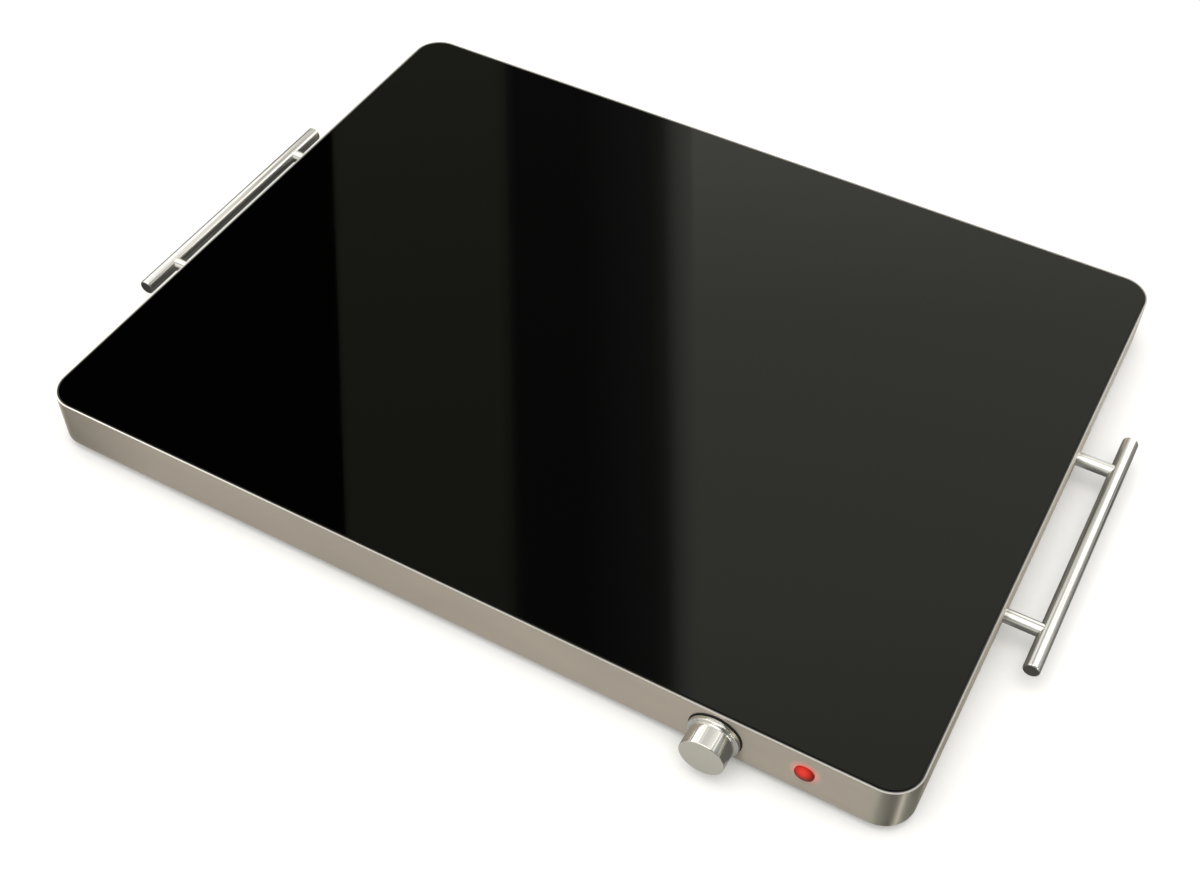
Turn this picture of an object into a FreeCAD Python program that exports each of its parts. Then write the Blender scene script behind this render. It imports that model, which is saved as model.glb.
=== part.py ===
import FreeCAD, Part
import math
import os

# Electric food warmer tray: black glass hot plate in a low stainless casing.
# Millimetres. +X right along the front wall, +Y to the back, +Z up.
# The origin is under the middle of the whole object, on the surface that it stands on.

V = FreeCAD.Vector
UP = V(0, 0, 1)
BACK = V(0, 1, 0)
RIGHT = V(1, 0, 0)

# Casing
tray_width = 650.0
tray_depth = 500.0
wall_height = 39.0
corner_radius = 22.0
least_corner = 1.0
wall_sheet = 1.2
flange_width = 14.0

# Clearances
snug = 0.1
running = 0.05
slack = 0.3

# Base plate and feet
foot_height = 5.0
foot_radius = 11.0
foot_taper = 1.5
foot_inset = 62.0
foot_recess_radius = 5.2
foot_recess_depth = 2.8
base_sheet = 1.0
base_inset = 3.0
slot_length = 46.0
slot_width = 4.0
slot_pitch = 14.0
slots_in_row = 9
slot_row_from_side = 175.0

# Glass, its seal and the frame under it
glass_thickness = 4.0
glass_proud = 0.3
glass_bevel = 0.5
seal_width = 1.0
seal_thickness = 0.8
seal_lap = 9.0
seal_recess = 0.5
ledge_sheet = 1.0
ledge_width = 12.0
ledge_leg = 3.5

# T-bar handles
bar_diameter = 11.5
bar_length = 220.0
bar_chamfer = 0.7
bar_stand_off = 28.9
bar_drop = 24.2
post_diameter = 10.0
post_inset = 33.0
handle_screw_radius = 2.5
handle_screw_grip = 7.5
handle_head_radius = 4.5
handle_head_height = 3.0
washer_radius = 7.5
washer_sheet = 1.2

# Knob
knob_from_right = 124.3
knob_drop = 20.9
knob_length = 19.0
knob_gap = 1.0
knob_radius = 15.2
knob_foot_radius = 17.6
knob_foot_height = 3.4
knob_face_wall = 3.0
knob_edge = 0.7
hub_radius = 8.0
hub_setback = 1.5
knob_hollow_radius = 14.2
knob_hollow_depth = 3.0
knob_seal_radius = 16.8
knob_seal_width = 2.2
knob_seal_sheet = 0.6

# Thermostat, with distances inward from the inner face of the front wall
spindle_radius = 3.0
spindle_flat = 1.0
spindle_tip_radius = 2.0
spindle_tip_length = 6.3
shoulder_radius = 4.2
shoulder_length = 1.6
bush_wall = 1.4
bush_proud = 0.4
bush_length = 4.1
bracket_sheet = 1.5
bracket_half_width = 17.0
bracket_half_height = 12.0
arm_half_height = 8.0
body_half_height = 11.5
body_length = 22.0
guide_length = 10.5
plunger_side = 7.6
plunger_length = 6.5
plunger_setback = 2.3
plunger_nose_radius = 1.5
plunger_nose_length = 3.7
plunger_bore_wall = 0.6
plunger_travel = 1.5
chamber_length = 7.5
chamber_wall = 2.9
chamber_half_height = 7.0
capsule_radius = 10.0
capsule_rim = 0.8
capsule_crown_radius = 8.0
blade_sheet = 0.8
blade_height = 6.3
blade_reach = 8.0
blade_lead = 1.0
leaf_sheet = 0.4
leaf_height = 5.0
leaf_end_gap = 1.2
contact_radius = 1.5
contact_height = 0.6
contact_gap = 0.6
contact_from_wall = 3.7
fixed_arm_reach = 6.2
thermostat_screw_pitch = 22.0
small_screw_radius = 1.5
small_head_radius = 2.7
small_head_height = 1.6
small_screw_grip = 1.5

# Pilot lamp
lamp_from_knob = 58.9
lamp_drop = 17.5
lens_radius = 6.5
lens_proud = 3.0
lens_dome = 1.3
lens_hollow = 0.9
lens_stem_radius = 4.9
lens_stem_length = 8.0
lens_wall = 1.0
holder_radius = 6.0
holder_length = 17.0
holder_end_wall = 2.0
nut_radius = 7.4
nut_sheet = 1.0
neon_radius = 2.4
neon_length = 11.0
neon_dome = 1.8
neon_end_gap = 1.0
lamp_tab_pitch = 6.0
lamp_tab_length = 5.0
lamp_tab_side = 1.0

# Mains inlet in the back wall
inlet_from_right = 125.0
inlet_rise = 19.5
inlet_flange_width = 50.0
inlet_flange_height = 22.0
inlet_flange = 2.5
inlet_flange_corner = 3.0
inlet_screw_length = 8.0
inlet_nut_height = 2.4
inlet_nut_flat = 2.75
inlet_body_width = 27.6
inlet_body_height = 19.8
inlet_depth = 19.5
inlet_wall = 1.8
inlet_end_wall = 3.0
inlet_bevel = 4.0
inlet_screw_pitch = 40.0
pin_width = 2.0
pin_height = 4.0
pin_pitch = 14.0
pin_recess = 3.5
pin_tab = 8.0
line_pin_drop = 2.0
earth_pin_rise = 4.0

# Heater
side_margin = 50.0
front_margin = 75.0
back_margin = 45.0
spreader_sheet = 1.5
spreader_corner = 14.0
cable_diameter = 3.5
cable_runs = 10
cable_inset = 15.0
cable_tail = 8.0
crimp_length = 12.0
mat_inset = 20.0
mat_thickness = 8.0
mat_corner = 8.0
mat_tray_sheet = 0.6

# Braces
brace_from_side = 175.0
brace_width = 20.0
brace_sheet = 1.2
brace_foot = 13.0

# Sensor and fuse under the spreader
bulb_diameter = 4.4
bulb_length = 65.0
bulb_from_knob = 60.7
fuse_length = 12.0
fuse_from_right = 59.0
fuse_from_back = 99.0
clip_sheet = 0.5
clip_length = 6.0
clip_foot = 3.0
clip_place = 10.0
capillary_diameter = 1.6

# Wiring on the base plate
lead_diameter = 2.6
arc_share = 0.45
block_from_right = 90.0
block_from_back = 62.0
block_length = 16.0
block_width = 22.0
block_height = 12.0
block_pole_pitch = 11.0
block_bore_radius = 3.2
block_bore_rise = 5.0
block_screw_pitch = 8.0
block_screw_drop = 0.5
driver_slot_width = 0.6
driver_slot_depth = 0.8
lane_pitch = 6.0
lane_from_right = 41.0
lane_clips = 3
lane_clip_first = 150.0
lane_clip_pitch = 100.0
lane_clip_length = 8.0
lane_clip_wall = 2.5
earth_from_inlet = 50.0
earth_from_back = 80.0
ring_radius = 4.5
ring_sheet = 0.8
ring_neck_width = 4.0
ring_neck_gap = 2.0
barrel_length = 7.0
barrel_wall = 0.7
barrel_core = 4.0
earth_screw_length = 3.6

# Small screws through sheet
tapping_radius = 1.75
tapping_length = 9.0
tapping_head_radius = 3.6
tapping_head_height = 1.8
cross_width = 1.0
cross_depth = 0.9
cross_share = 0.55
side_screw_from_corner = 100.0

# Places that follow from the sizes
knob_reach = knob_gap + knob_length
casing_y = (knob_reach - inlet_flange) / 2
left_x = -tray_width / 2
right_x = tray_width / 2
front_y = casing_y - tray_depth / 2
back_y = casing_y + tray_depth / 2
base_bottom = foot_height
casing_bottom = base_bottom + base_sheet
casing_top = casing_bottom + wall_height
flange_top = casing_bottom + wall_sheet
inner_front = front_y + wall_sheet
inner_back = back_y - wall_sheet
knob_x = right_x - knob_from_right
lamp_x = knob_x + lamp_from_knob
inlet_x = right_x - inlet_from_right
block_x = right_x - block_from_right
lane_x = right_x - lane_from_right
fuse_x = right_x - fuse_from_right
bulb_x = knob_x - bulb_from_knob - bulb_length
earth_x = inlet_x - earth_from_inlet
brace_x = right_x - brace_from_side
slot_row_x = right_x - slot_row_from_side
side_screw_y = tray_depth / 2 - side_screw_from_corner
post_reach = bar_length / 2 - post_inset

glass_top_z = casing_top + glass_proud
glass_bottom = glass_top_z - glass_thickness
ledge_top = glass_bottom - seal_thickness

spreader_top = glass_bottom - snug
spreader_bottom = spreader_top - spreader_sheet
cable_z = spreader_bottom - snug - cable_diameter / 2
mat_top = cable_z - cable_diameter / 2 - snug
mat_bottom = mat_top - mat_thickness
mat_tray_bottom = mat_bottom - snug - mat_tray_sheet
brace_top = mat_tray_bottom - snug

knob_z = casing_top - knob_drop
lamp_z = casing_top - lamp_drop
bar_z = casing_top - bar_drop
inlet_z = casing_bottom + inlet_rise
bulb_z = spreader_bottom - snug - bulb_diameter / 2
bore_z = casing_bottom + block_bore_rise
pair_offset = (lead_diameter + slack) / 2
low_lane_z = bore_z - pair_offset

screw_line = wall_sheet + flange_width / 2


# Basic shapes

def block(x0, x1, y0, y1, z0, z1):
    return Part.makeBox(x1 - x0, y1 - y0, z1 - z0, V(x0, y0, z0))


def rod(start, axis, radius, length):
    return Part.makeCylinder(radius, length, start, axis)


def rounded_plate(x0, x1, y0, y1, radius, z0, z1):
    lean = radius * (1 - math.sqrt(0.5))
    points = [V(x0 + radius, y0, z0), V(x1 - radius, y0, z0), V(x1 - lean, y0 + lean, z0)]
    points += [V(x1, y0 + radius, z0), V(x1, y1 - radius, z0), V(x1 - lean, y1 - lean, z0)]
    points += [V(x1 - radius, y1, z0), V(x0 + radius, y1, z0), V(x0 + lean, y1 - lean, z0)]
    points += [V(x0, y1 - radius, z0), V(x0, y0 + radius, z0), V(x0 + lean, y0 + lean, z0)]
    points.append(points[0])
    edges = []
    for first in range(0, 12, 3):
        edges.append(Part.LineSegment(points[first], points[first + 1]).toShape())
        edges.append(Part.Arc(points[first + 1], points[first + 2], points[first + 3]).toShape())
    return Part.Face(Part.Wire(edges)).extrude(V(0, 0, z1 - z0))


def inset_plate(inset, z0, z1):
    # The casing's own outline, drawn in by an even inset.
    radius = max(corner_radius - inset, least_corner)
    return rounded_plate(left_x + inset, right_x - inset, front_y + inset, back_y - inset, radius, z0, z1)


def inset_ring(outer, inner, z0, z1):
    return inset_plate(outer, z0, z1).cut(inset_plate(inner, z0 - 1, z1 + 1))


def turned(profile, origin, axis, crown=None):
    # A solid of revolution from (radius, distance along the axis) points.
    # A crown is the middle point of the arc that closes the profile in place of a straight line.
    points = [V(radius, 0, along) for radius, along in profile]
    edges = [Part.LineSegment(first, second).toShape() for first, second in zip(points, points[1:])]
    if crown:
        edges.append(Part.Arc(points[-1], V(crown[0], 0, crown[1]), points[0]).toShape())
    else:
        edges.append(Part.LineSegment(points[-1], points[0]).toShape())
    solid = Part.Face(Part.Wire(edges)).revolve(V(0, 0, 0), UP, 360)
    solid.Placement = FreeCAD.Placement(origin, FreeCAD.Rotation(UP, axis))
    return Part.Solid(Part.Shell(solid.Faces)) if solid.ShapeType != "Solid" else solid


def crown_middle(radius, rise, tip):
    # Halfway round a spherical crown, from its tip on the axis to its rim.
    sphere_radius = (radius ** 2 + rise ** 2) / (2 * rise)
    half_angle = math.asin(radius / sphere_radius) / 2
    return (sphere_radius * math.sin(half_angle), tip + sphere_radius * (1 - math.cos(half_angle)))


def placed(solid, origin, axis):
    solid.Placement = FreeCAD.Placement(origin, FreeCAD.Rotation(UP, axis))
    return solid


def pan_screw(origin, axis, radius, length, head_radius, head_height):
    # Origin is under the head; the shank runs along the axis and the head against it.
    head = Part.makeCylinder(head_radius, head_height, V(0, 0, -head_height))
    rim = [edge for edge in head.Edges if edge.Vertexes[0].Z < -head_height / 2 and edge.Closed]
    head = head.makeFillet(head_height / 3, rim)
    shank = Part.makeCylinder(radius, length - radius, V(0, 0, 0))
    tip = Part.makeCone(radius, radius / 3, radius, V(0, 0, length - radius))
    arm = head_radius * cross_share
    low = -head_height - 1
    high = -head_height + cross_depth
    cross = block(-arm, arm, -cross_width / 2, cross_width / 2, low, high)
    cross = cross.fuse(block(-cross_width / 2, cross_width / 2, -arm, arm, low, high))
    return placed(head.fuse([shank, tip]).removeSplitter().cut(cross), origin, axis)


def sheet_screw(origin, axis, length):
    return pan_screw(origin, axis, tapping_radius, length, tapping_head_radius, tapping_head_height)


def machine_screw(origin, axis, length):
    return pan_screw(origin, axis, small_screw_radius, length, small_head_radius, small_head_height)


def hex_nut(origin, axis, flat_radius, height, bore):
    corner = flat_radius / math.cos(math.pi / 6)
    corners = []
    for side in range(7):
        angle = side * math.pi / 3
        corners.append(V(corner * math.cos(angle), corner * math.sin(angle), 0))
    nut = Part.Face(Part.makePolygon(corners)).extrude(V(0, 0, height))
    return placed(nut.cut(Part.makeCylinder(bore, height + 2, V(0, 0, -1))), origin, axis)


def swept(path, radius, start, heading):
    circle = Part.Wire([Part.makeCircle(radius, start, heading)])
    return path.makePipeShell([circle], True, False)


def lead(points, diameter, name):
    # A flexible lead along straight runs joined by tangent arcs.
    edges = []
    radii = []
    start = points[0]
    for before, corner, after in zip(points, points[1:], points[2:]):
        into = corner - before
        away = after - corner
        half_turn = into.getAngle(away) / 2
        setback = arc_share * min(into.Length, away.Length)
        into.normalize()
        away.normalize()
        radius = setback / math.tan(half_turn)
        radii.append(radius)
        first = corner - into * setback
        last = corner + away * setback
        inward = (away - into).normalize()
        centre = corner + inward * (radius / math.cos(half_turn))
        edges.append(Part.LineSegment(start, first).toShape())
        edges.append(Part.Arc(first, centre - inward * radius, last).toShape())
        start = last
    edges.append(Part.LineSegment(start, points[-1]).toShape())
    path = Part.Wire(edges)
    solid = swept(path, diameter / 2, points[0], points[1] - points[0])
    share = solid.Volume / (math.pi * diameter ** 2 / 4 * path.Length)
    rounded = [round(radius, 1) for radius in radii]
    print(name, "length", round(path.Length, 1), "volume share", round(share, 4), "radii", rounded)
    return solid


def save(name, solids):
    if not isinstance(solids, list):
        solids = [solids]
    pieces = []
    for solid in solids:
        pieces += solid.Solids
    shape = pieces[0] if len(pieces) == 1 else Part.makeCompound(pieces)
    if not shape.isValid():
        print("not valid:", name)
    shape.exportStep("parts/" + name + ".step")
    print(name, len(pieces), round(sum(piece.Volume for piece in pieces) / 1000, 3), "cm3")


# Places shared by more than one piece

def handle_places():
    # Side (-1 left, 1 right) and end (-1 front, 1 back) of each handle post.
    places = []
    for side in (-1, 1):
        for end in (-1, 1):
            places.append((side, end, V(side * right_x, casing_y + end * post_reach, bar_z)))
    return places


def foot_places():
    return {
        "foot_front_left": V(left_x + foot_inset, front_y + foot_inset, 0),
        "foot_front_right": V(right_x - foot_inset, front_y + foot_inset, 0),
        "foot_back_left": V(left_x + foot_inset, back_y - foot_inset, 0),
        "foot_back_right": V(right_x - foot_inset, back_y - foot_inset, 0),
    }


def brace_places():
    return {"brace_left": -brace_x, "brace_middle": 0.0, "brace_right": brace_x}


def base_screw_places():
    places = []
    for x in brace_places().values():
        places.append(V(x, front_y + screw_line, base_bottom))
        places.append(V(x, back_y - screw_line, base_bottom))
    for y in (casing_y - side_screw_y, casing_y + side_screw_y):
        places.append(V(left_x + screw_line, y, base_bottom))
        places.append(V(right_x - screw_line, y, base_bottom))
    return places


def inlet_screw_places():
    half = inlet_screw_pitch / 2
    return [V(inlet_x - half, back_y, inlet_z), V(inlet_x + half, back_y, inlet_z)]


def thermostat_screw_places():
    half = thermostat_screw_pitch / 2
    return [V(knob_x - half, front_y, knob_z), V(knob_x + half, front_y, knob_z)]


# Casing, base and feet

def make_casing():
    wall = inset_ring(0, wall_sheet, casing_bottom, casing_top)
    flange = inset_ring(wall_sheet / 2, wall_sheet + flange_width, casing_bottom, flange_top)
    casing = wall.fuse(flange).removeSplitter()
    holes = [rod(V(knob_x, front_y - 1, knob_z), BACK, spindle_radius + bush_wall + slack, wall_sheet + 2)]
    holes.append(rod(V(lamp_x, front_y - 1, lamp_z), BACK, lens_stem_radius + snug, wall_sheet + 2))
    for place in thermostat_screw_places():
        holes.append(rod(place - BACK, BACK, small_screw_radius + snug, wall_sheet + 2))
    for side, end, place in handle_places():
        holes.append(rod(place + RIGHT * side, RIGHT * -side, handle_screw_radius + snug, wall_sheet + 2))
    for place in inlet_screw_places():
        holes.append(rod(place + BACK, BACK * -1, small_screw_radius + snug, wall_sheet + 2))
    holes.append(inlet_outline(snug, inner_back - 1, back_y + 1))
    for place in base_screw_places():
        holes.append(rod(place, UP, tapping_radius + running, base_sheet + wall_sheet + 1))
    return casing.cut(holes)


def air_slot(x):
    # A slot with round ends, through the base plate.
    half = slot_width / 2
    reach = slot_length / 2 - half
    low = base_bottom - 1
    height = base_sheet + 2
    middle = block(x - half, x + half, casing_y - reach, casing_y + reach, low, low + height)
    ends = [rod(V(x, casing_y + end * reach, low), UP, half, height) for end in (-1, 1)]
    return middle.fuse(ends)


def make_base_plate():
    plate = inset_plate(base_inset, base_bottom, casing_bottom)
    holes = []
    for place in base_screw_places():
        holes.append(rod(place - UP, UP, tapping_radius + slack, base_sheet + 2))
    for place in foot_places().values():
        holes.append(rod(place + UP * (base_bottom - 1), UP, tapping_radius + running, base_sheet + 2))
    earth = V(earth_x, back_y - earth_from_back, base_bottom - 1)
    holes.append(rod(earth, UP, tapping_radius + running, base_sheet + 2))
    for side in (-1, 1):
        for index in range(slots_in_row):
            x = side * slot_row_x + (index - (slots_in_row - 1) / 2) * slot_pitch
            holes.append(air_slot(x))
    return plate.cut(holes)


def make_foot(place):
    profile = [(foot_recess_radius, 0), (foot_radius - foot_taper, 0), (foot_radius, foot_height)]
    profile += [(tapping_radius + snug, foot_height), (tapping_radius + snug, foot_recess_depth)]
    profile += [(foot_recess_radius, foot_recess_depth)]
    return turned(profile, place, UP)


def make_foot_screws():
    screws = []
    for place in foot_places().values():
        seat = place + UP * foot_recess_depth
        screws.append(sheet_screw(seat, UP, tapping_length))
    return screws


def make_base_screws():
    screws = []
    for place in base_screw_places():
        screws.append(sheet_screw(place, UP, tapping_length))
    return screws


# Glass and what carries it

def make_glass_top():
    glass = inset_plate(wall_sheet + seal_width, glass_bottom, glass_top_z)
    rim = [edge for edge in glass.Edges if min(vertex.Z for vertex in edge.Vertexes) > glass_top_z - 0.01]
    return glass.makeChamfer(glass_bevel, rim)


def make_glass_seal():
    outer = wall_sheet + running
    under = inset_ring(outer, wall_sheet + seal_width + seal_lap, ledge_top, glass_bottom)
    inner = wall_sheet + seal_width - running
    round_edge = inset_ring(outer, inner, ledge_top, casing_top - seal_recess)
    return under.fuse(round_edge).removeSplitter()


def make_glass_frame():
    outer = wall_sheet + snug
    ledge = inset_ring(outer, outer + ledge_width, ledge_top - ledge_sheet, ledge_top)
    leg = inset_ring(outer, outer + ledge_sheet, ledge_top - ledge_leg, ledge_top)
    return ledge.fuse(leg).removeSplitter()


# Handles

def bar_axis_x(side):
    return side * (right_x + bar_stand_off)


def make_handle_bar(side):
    start = V(bar_axis_x(side), casing_y - bar_length / 2, bar_z)
    radius = bar_diameter / 2
    profile = [(0, 0), (radius - bar_chamfer, 0), (radius, bar_chamfer), (radius, bar_length - bar_chamfer)]
    profile += [(radius - bar_chamfer, bar_length), (0, bar_length)]
    bar = turned(profile, start, BACK)
    reach = handle_screw_grip - radius
    holes = []
    for end in (-1, 1):
        bottom = V(bar_axis_x(side) + side * (reach + snug), casing_y + end * post_reach, bar_z)
        holes.append(rod(bottom, RIGHT * -side, handle_screw_radius + running, bar_diameter))
    return bar.cut(holes)


def make_handle_post(side, place):
    post = rod(place, RIGHT * side, post_diameter / 2, bar_stand_off)
    bar_start = V(bar_axis_x(side), casing_y - bar_length / 2, bar_z)
    bar = rod(bar_start, BACK, bar_diameter / 2 + running, bar_length)
    bore = rod(place - RIGHT * side, RIGHT * side, handle_screw_radius + snug, bar_stand_off + 2)
    return post.cut([bar, bore])


def make_handle_screws():
    screws = []
    length = washer_sheet + wall_sheet + bar_stand_off - bar_diameter / 2 + handle_screw_grip
    for side, end, place in handle_places():
        seat = place - RIGHT * side * (wall_sheet + washer_sheet)
        head_size = (handle_head_radius, handle_head_height)
        screws.append(pan_screw(seat, RIGHT * side, handle_screw_radius, length, *head_size))
    return screws


def make_handle_washers():
    washers = []
    for side, end, place in handle_places():
        seat = place - RIGHT * side * wall_sheet
        washer = rod(seat, RIGHT * -side, washer_radius, washer_sheet)
        hole = rod(seat + RIGHT * side, RIGHT * -side, handle_screw_radius + snug, washer_sheet + 2)
        washers.append(washer.cut(hole))
    return washers


# Knob, with distances outward from the front wall

def knob_point(out):
    return V(knob_x, front_y - out, knob_z)


def make_control_knob():
    hub_end = knob_length - knob_face_wall
    profile = [(hub_radius + running, knob_hollow_depth), (knob_hollow_radius, knob_hollow_depth)]
    profile += [(knob_hollow_radius, 0), (knob_foot_radius - knob_edge / 2, 0)]
    profile += [(knob_foot_radius, knob_edge / 2), (knob_foot_radius, knob_foot_height - knob_edge)]
    profile += [(knob_foot_radius - knob_edge, knob_foot_height), (knob_radius, knob_foot_height)]
    profile += [(knob_radius, knob_length - knob_edge), (knob_radius - knob_edge, knob_length)]
    profile += [(0, knob_length), (0, hub_end), (hub_radius + running, hub_end)]
    return turned(profile, knob_point(knob_gap), BACK * -1)


def spindle_flat_cut(radius, start, end):
    # The part of a shaft above its flat, from one distance outward to another.
    low = knob_z + spindle_radius - spindle_flat
    high = knob_z + radius + 1
    return block(knob_x - radius - 1, knob_x + radius + 1, front_y - end, front_y - start, low, high)


def spindle_end():
    return knob_reach - knob_face_wall - hub_setback


def make_knob_hub():
    start = knob_gap + hub_setback
    hub = rod(knob_point(start), BACK * -1, hub_radius, knob_reach - knob_face_wall - start)
    bore_length = spindle_end() + snug - start + 1
    hub_bore = rod(knob_point(start - 1), BACK * -1, spindle_radius + running, bore_length)
    above_flat = spindle_flat_cut(spindle_radius, start - 1, knob_reach)
    above_flat.translate(UP * running)
    return hub.cut(hub_bore.cut(above_flat))


def make_knob_seal():
    ring = rod(knob_point(0), BACK * -1, knob_seal_radius, knob_seal_sheet)
    return ring.cut(rod(knob_point(-1), BACK * -1, knob_seal_radius - knob_seal_width, knob_seal_sheet + 2))


# Thermostat, with distances inward from the inner face of the front wall

bush_back = bush_length - wall_sheet - bush_proud
shoulder_back = bush_back + snug + shoulder_length
body_front = shoulder_back + slack
body_back = body_front + body_length
chamber_front = body_front + guide_length
chamber_back = chamber_front + chamber_length
body_half_width = bracket_half_width - bracket_sheet - 2 * snug
chamber_half_width = body_half_width - chamber_wall
plunger_front = body_front + plunger_setback
plunger_back = plunger_front + plunger_length
nose_tip = plunger_back + plunger_nose_length
leaf_front = nose_tip + plunger_travel + slack
blade_x = chamber_half_width + snug + blade_sheet / 2
blade_front = leaf_front - blade_lead
blade_end = body_back + blade_reach


def inner_y(depth):
    return inner_front + depth


def inner_box(x0, x1, depth0, depth1, half_height):
    low = knob_z - half_height
    high = knob_z + half_height
    return block(knob_x + x0, knob_x + x1, inner_y(depth0), inner_y(depth1), low, high)


def make_thermostat_bracket():
    width = bracket_half_width
    bracket = inner_box(-width, width, 0, bracket_sheet, bracket_half_height)
    bracket = bracket.fuse(inner_box(-width, bracket_sheet - width, 0, body_back, arm_half_height))
    bracket = bracket.fuse(inner_box(width - bracket_sheet, width, 0, body_back, arm_half_height))
    hole_radius = spindle_radius + bush_wall + running
    holes = [rod(V(knob_x, inner_front - 1, knob_z), BACK, hole_radius, bracket_sheet + 2)]
    for place in thermostat_screw_places():
        holes.append(rod(place, BACK, small_screw_radius + running, wall_sheet + bracket_sheet + 1))
    return bracket.removeSplitter().cut(holes)


def make_spindle_bush():
    start = V(knob_x, front_y - bush_proud, knob_z)
    bush = rod(start, BACK, spindle_radius + bush_wall, bush_length)
    return bush.cut(rod(start - BACK, BACK, spindle_radius + running, bush_length + 2))


def make_thermostat_spindle():
    end = spindle_end()
    shaft = rod(knob_point(end), BACK, spindle_radius, end + wall_sheet + bush_back + snug)
    shaft = shaft.cut(spindle_flat_cut(spindle_radius, knob_gap + hub_setback, end + 1))
    shoulder_front = inner_y(bush_back + snug)
    shoulder = rod(V(knob_x, shoulder_front, knob_z), BACK, shoulder_radius, shoulder_length)
    tip = rod(V(knob_x, inner_y(shoulder_back), knob_z), BACK, spindle_tip_radius, spindle_tip_length)
    return shaft.fuse([shoulder, tip]).removeSplitter()


def make_thermostat_body():
    body = inner_box(-body_half_width, body_half_width, body_front, body_back, body_half_height)
    guide = plunger_side / 2 + snug
    cavities = [inner_box(-guide, guide, body_front - 1, chamber_front + 1, guide)]
    chamber = chamber_half_width
    cavities.append(inner_box(-chamber, chamber, chamber_front, chamber_back + 1, chamber_half_height))
    seat = V(knob_x, inner_y(chamber_back), knob_z)
    cavities.append(rod(seat, BACK, capsule_radius + snug, body_back - chamber_back + 1))
    slot = blade_height / 2 + running
    for side in (-1, 1):
        inner = side * chamber_half_width
        outer = side * (chamber_half_width + snug * 2 + blade_sheet)
        x0 = min(inner, outer)
        x1 = max(inner, outer)
        cavities.append(inner_box(x0, x1, blade_front - running, body_back + 1, slot))
    return body.cut(cavities)


def make_thermostat_plunger():
    half = plunger_side / 2
    plunger = inner_box(-half, half, plunger_front, plunger_back, half)
    nose = rod(V(knob_x, inner_y(plunger_back), knob_z), BACK, plunger_nose_radius, plunger_nose_length)
    bore_start = V(knob_x, inner_y(plunger_front - 1), knob_z)
    bore_length = plunger_length - plunger_bore_wall + 1
    bore = rod(bore_start, BACK, spindle_tip_radius + running, bore_length)
    return plunger.fuse(nose).cut(bore)


def make_thermostat_diaphragm():
    thickness = body_back - chamber_back
    start = V(knob_x, inner_y(chamber_back), knob_z)
    profile = [(0, 0), (capsule_radius, 0), (capsule_radius, capsule_rim)]
    profile += [(capsule_crown_radius, thickness), (0, thickness)]
    return turned(profile, start, BACK)


def make_switch_leaf():
    half = leaf_height / 2
    leaf_back = leaf_front + leaf_sheet
    held_end = snug / 2 - chamber_half_width
    free_end = chamber_half_width - leaf_end_gap
    leaf = inner_box(held_end, free_end, leaf_front, leaf_back, half)
    contact_x = knob_x + chamber_half_width - contact_from_wall
    contact = rod(V(contact_x, inner_y(leaf_back), knob_z), BACK, contact_radius, contact_height)
    return leaf.fuse(contact).removeSplitter()


def make_thermostat_terminals():
    blades = []
    half = blade_height / 2
    for side in (-1, 1):
        inner = side * blade_x - blade_sheet / 2
        blades.append(inner_box(inner, inner + blade_sheet, blade_front, blade_end, half))
    fixed_front = leaf_front + leaf_sheet + contact_height + contact_gap
    fixed_inner = chamber_half_width - fixed_arm_reach
    fixed = inner_box(fixed_inner, blade_x, fixed_front, fixed_front + blade_sheet, half)
    blades[1] = blades[1].fuse(fixed).removeSplitter()
    return blades


def make_thermostat_screws():
    screws = []
    length = wall_sheet + bracket_sheet + small_screw_grip
    for place in thermostat_screw_places():
        screws.append(machine_screw(place, BACK, length))
    return screws


# Pilot lamp

def lamp_point(depth):
    # Depth inward from the outer face of the front wall.
    return V(lamp_x, front_y + depth, lamp_z)


def make_lamp_lens():
    stem = lens_stem_length
    inner = lens_stem_radius - lens_wall
    profile = [(lens_radius, lens_dome - lens_proud), (lens_radius, -snug), (lens_stem_radius, -snug)]
    profile += [(lens_stem_radius, stem), (inner, stem), (inner, -lens_hollow), (0, -lens_hollow)]
    profile.append((0, -lens_proud))
    crown = crown_middle(lens_radius, lens_dome, -lens_proud)
    return turned(profile, lamp_point(0), BACK, crown)


def make_lamp_body():
    start = wall_sheet + nut_sheet + snug
    bore = lens_stem_radius + snug
    end = start + holder_length
    profile = [(bore, start), (holder_radius, start), (holder_radius, end), (0, end)]
    profile += [(0, end - holder_end_wall), (bore, end - holder_end_wall)]
    return turned(profile, lamp_point(0), BACK).cut(lamp_tab_slots(end))


def lamp_tab_box(x, depth0, depth1, play):
    half = lamp_tab_side / 2 + play
    low = lamp_z - half
    high = lamp_z + half
    return block(x - half, x + half, front_y + depth0, front_y + depth1, low, high)


def lamp_tab_slots(end):
    slots = []
    for side in (-1, 1):
        x = lamp_x + side * lamp_tab_pitch / 2
        slots.append(lamp_tab_box(x, end - holder_end_wall - 1, end + 1, running))
    return slots


def lamp_tab_end():
    return wall_sheet + nut_sheet + snug + holder_length + lamp_tab_length


def make_lamp_nut():
    ring = rod(lamp_point(wall_sheet), BACK, nut_radius, nut_sheet)
    return ring.cut(rod(lamp_point(wall_sheet - 1), BACK, lens_stem_radius + running, nut_sheet + 2))


def make_neon_lamp():
    bulb_end = lamp_tab_end() - lamp_tab_length - holder_end_wall - neon_end_gap
    tip = bulb_end - neon_length
    profile = [(neon_radius, tip + neon_dome), (neon_radius, bulb_end), (0, bulb_end), (0, tip)]
    crown = crown_middle(neon_radius, neon_dome, tip)
    pieces = [turned(profile, lamp_point(0), BACK, crown)]
    for side in (-1, 1):
        x = lamp_x + side * lamp_tab_pitch / 2
        pieces.append(lamp_tab_box(x, bulb_end + snug, lamp_tab_end(), 0))
    return pieces


# Mains inlet

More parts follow.
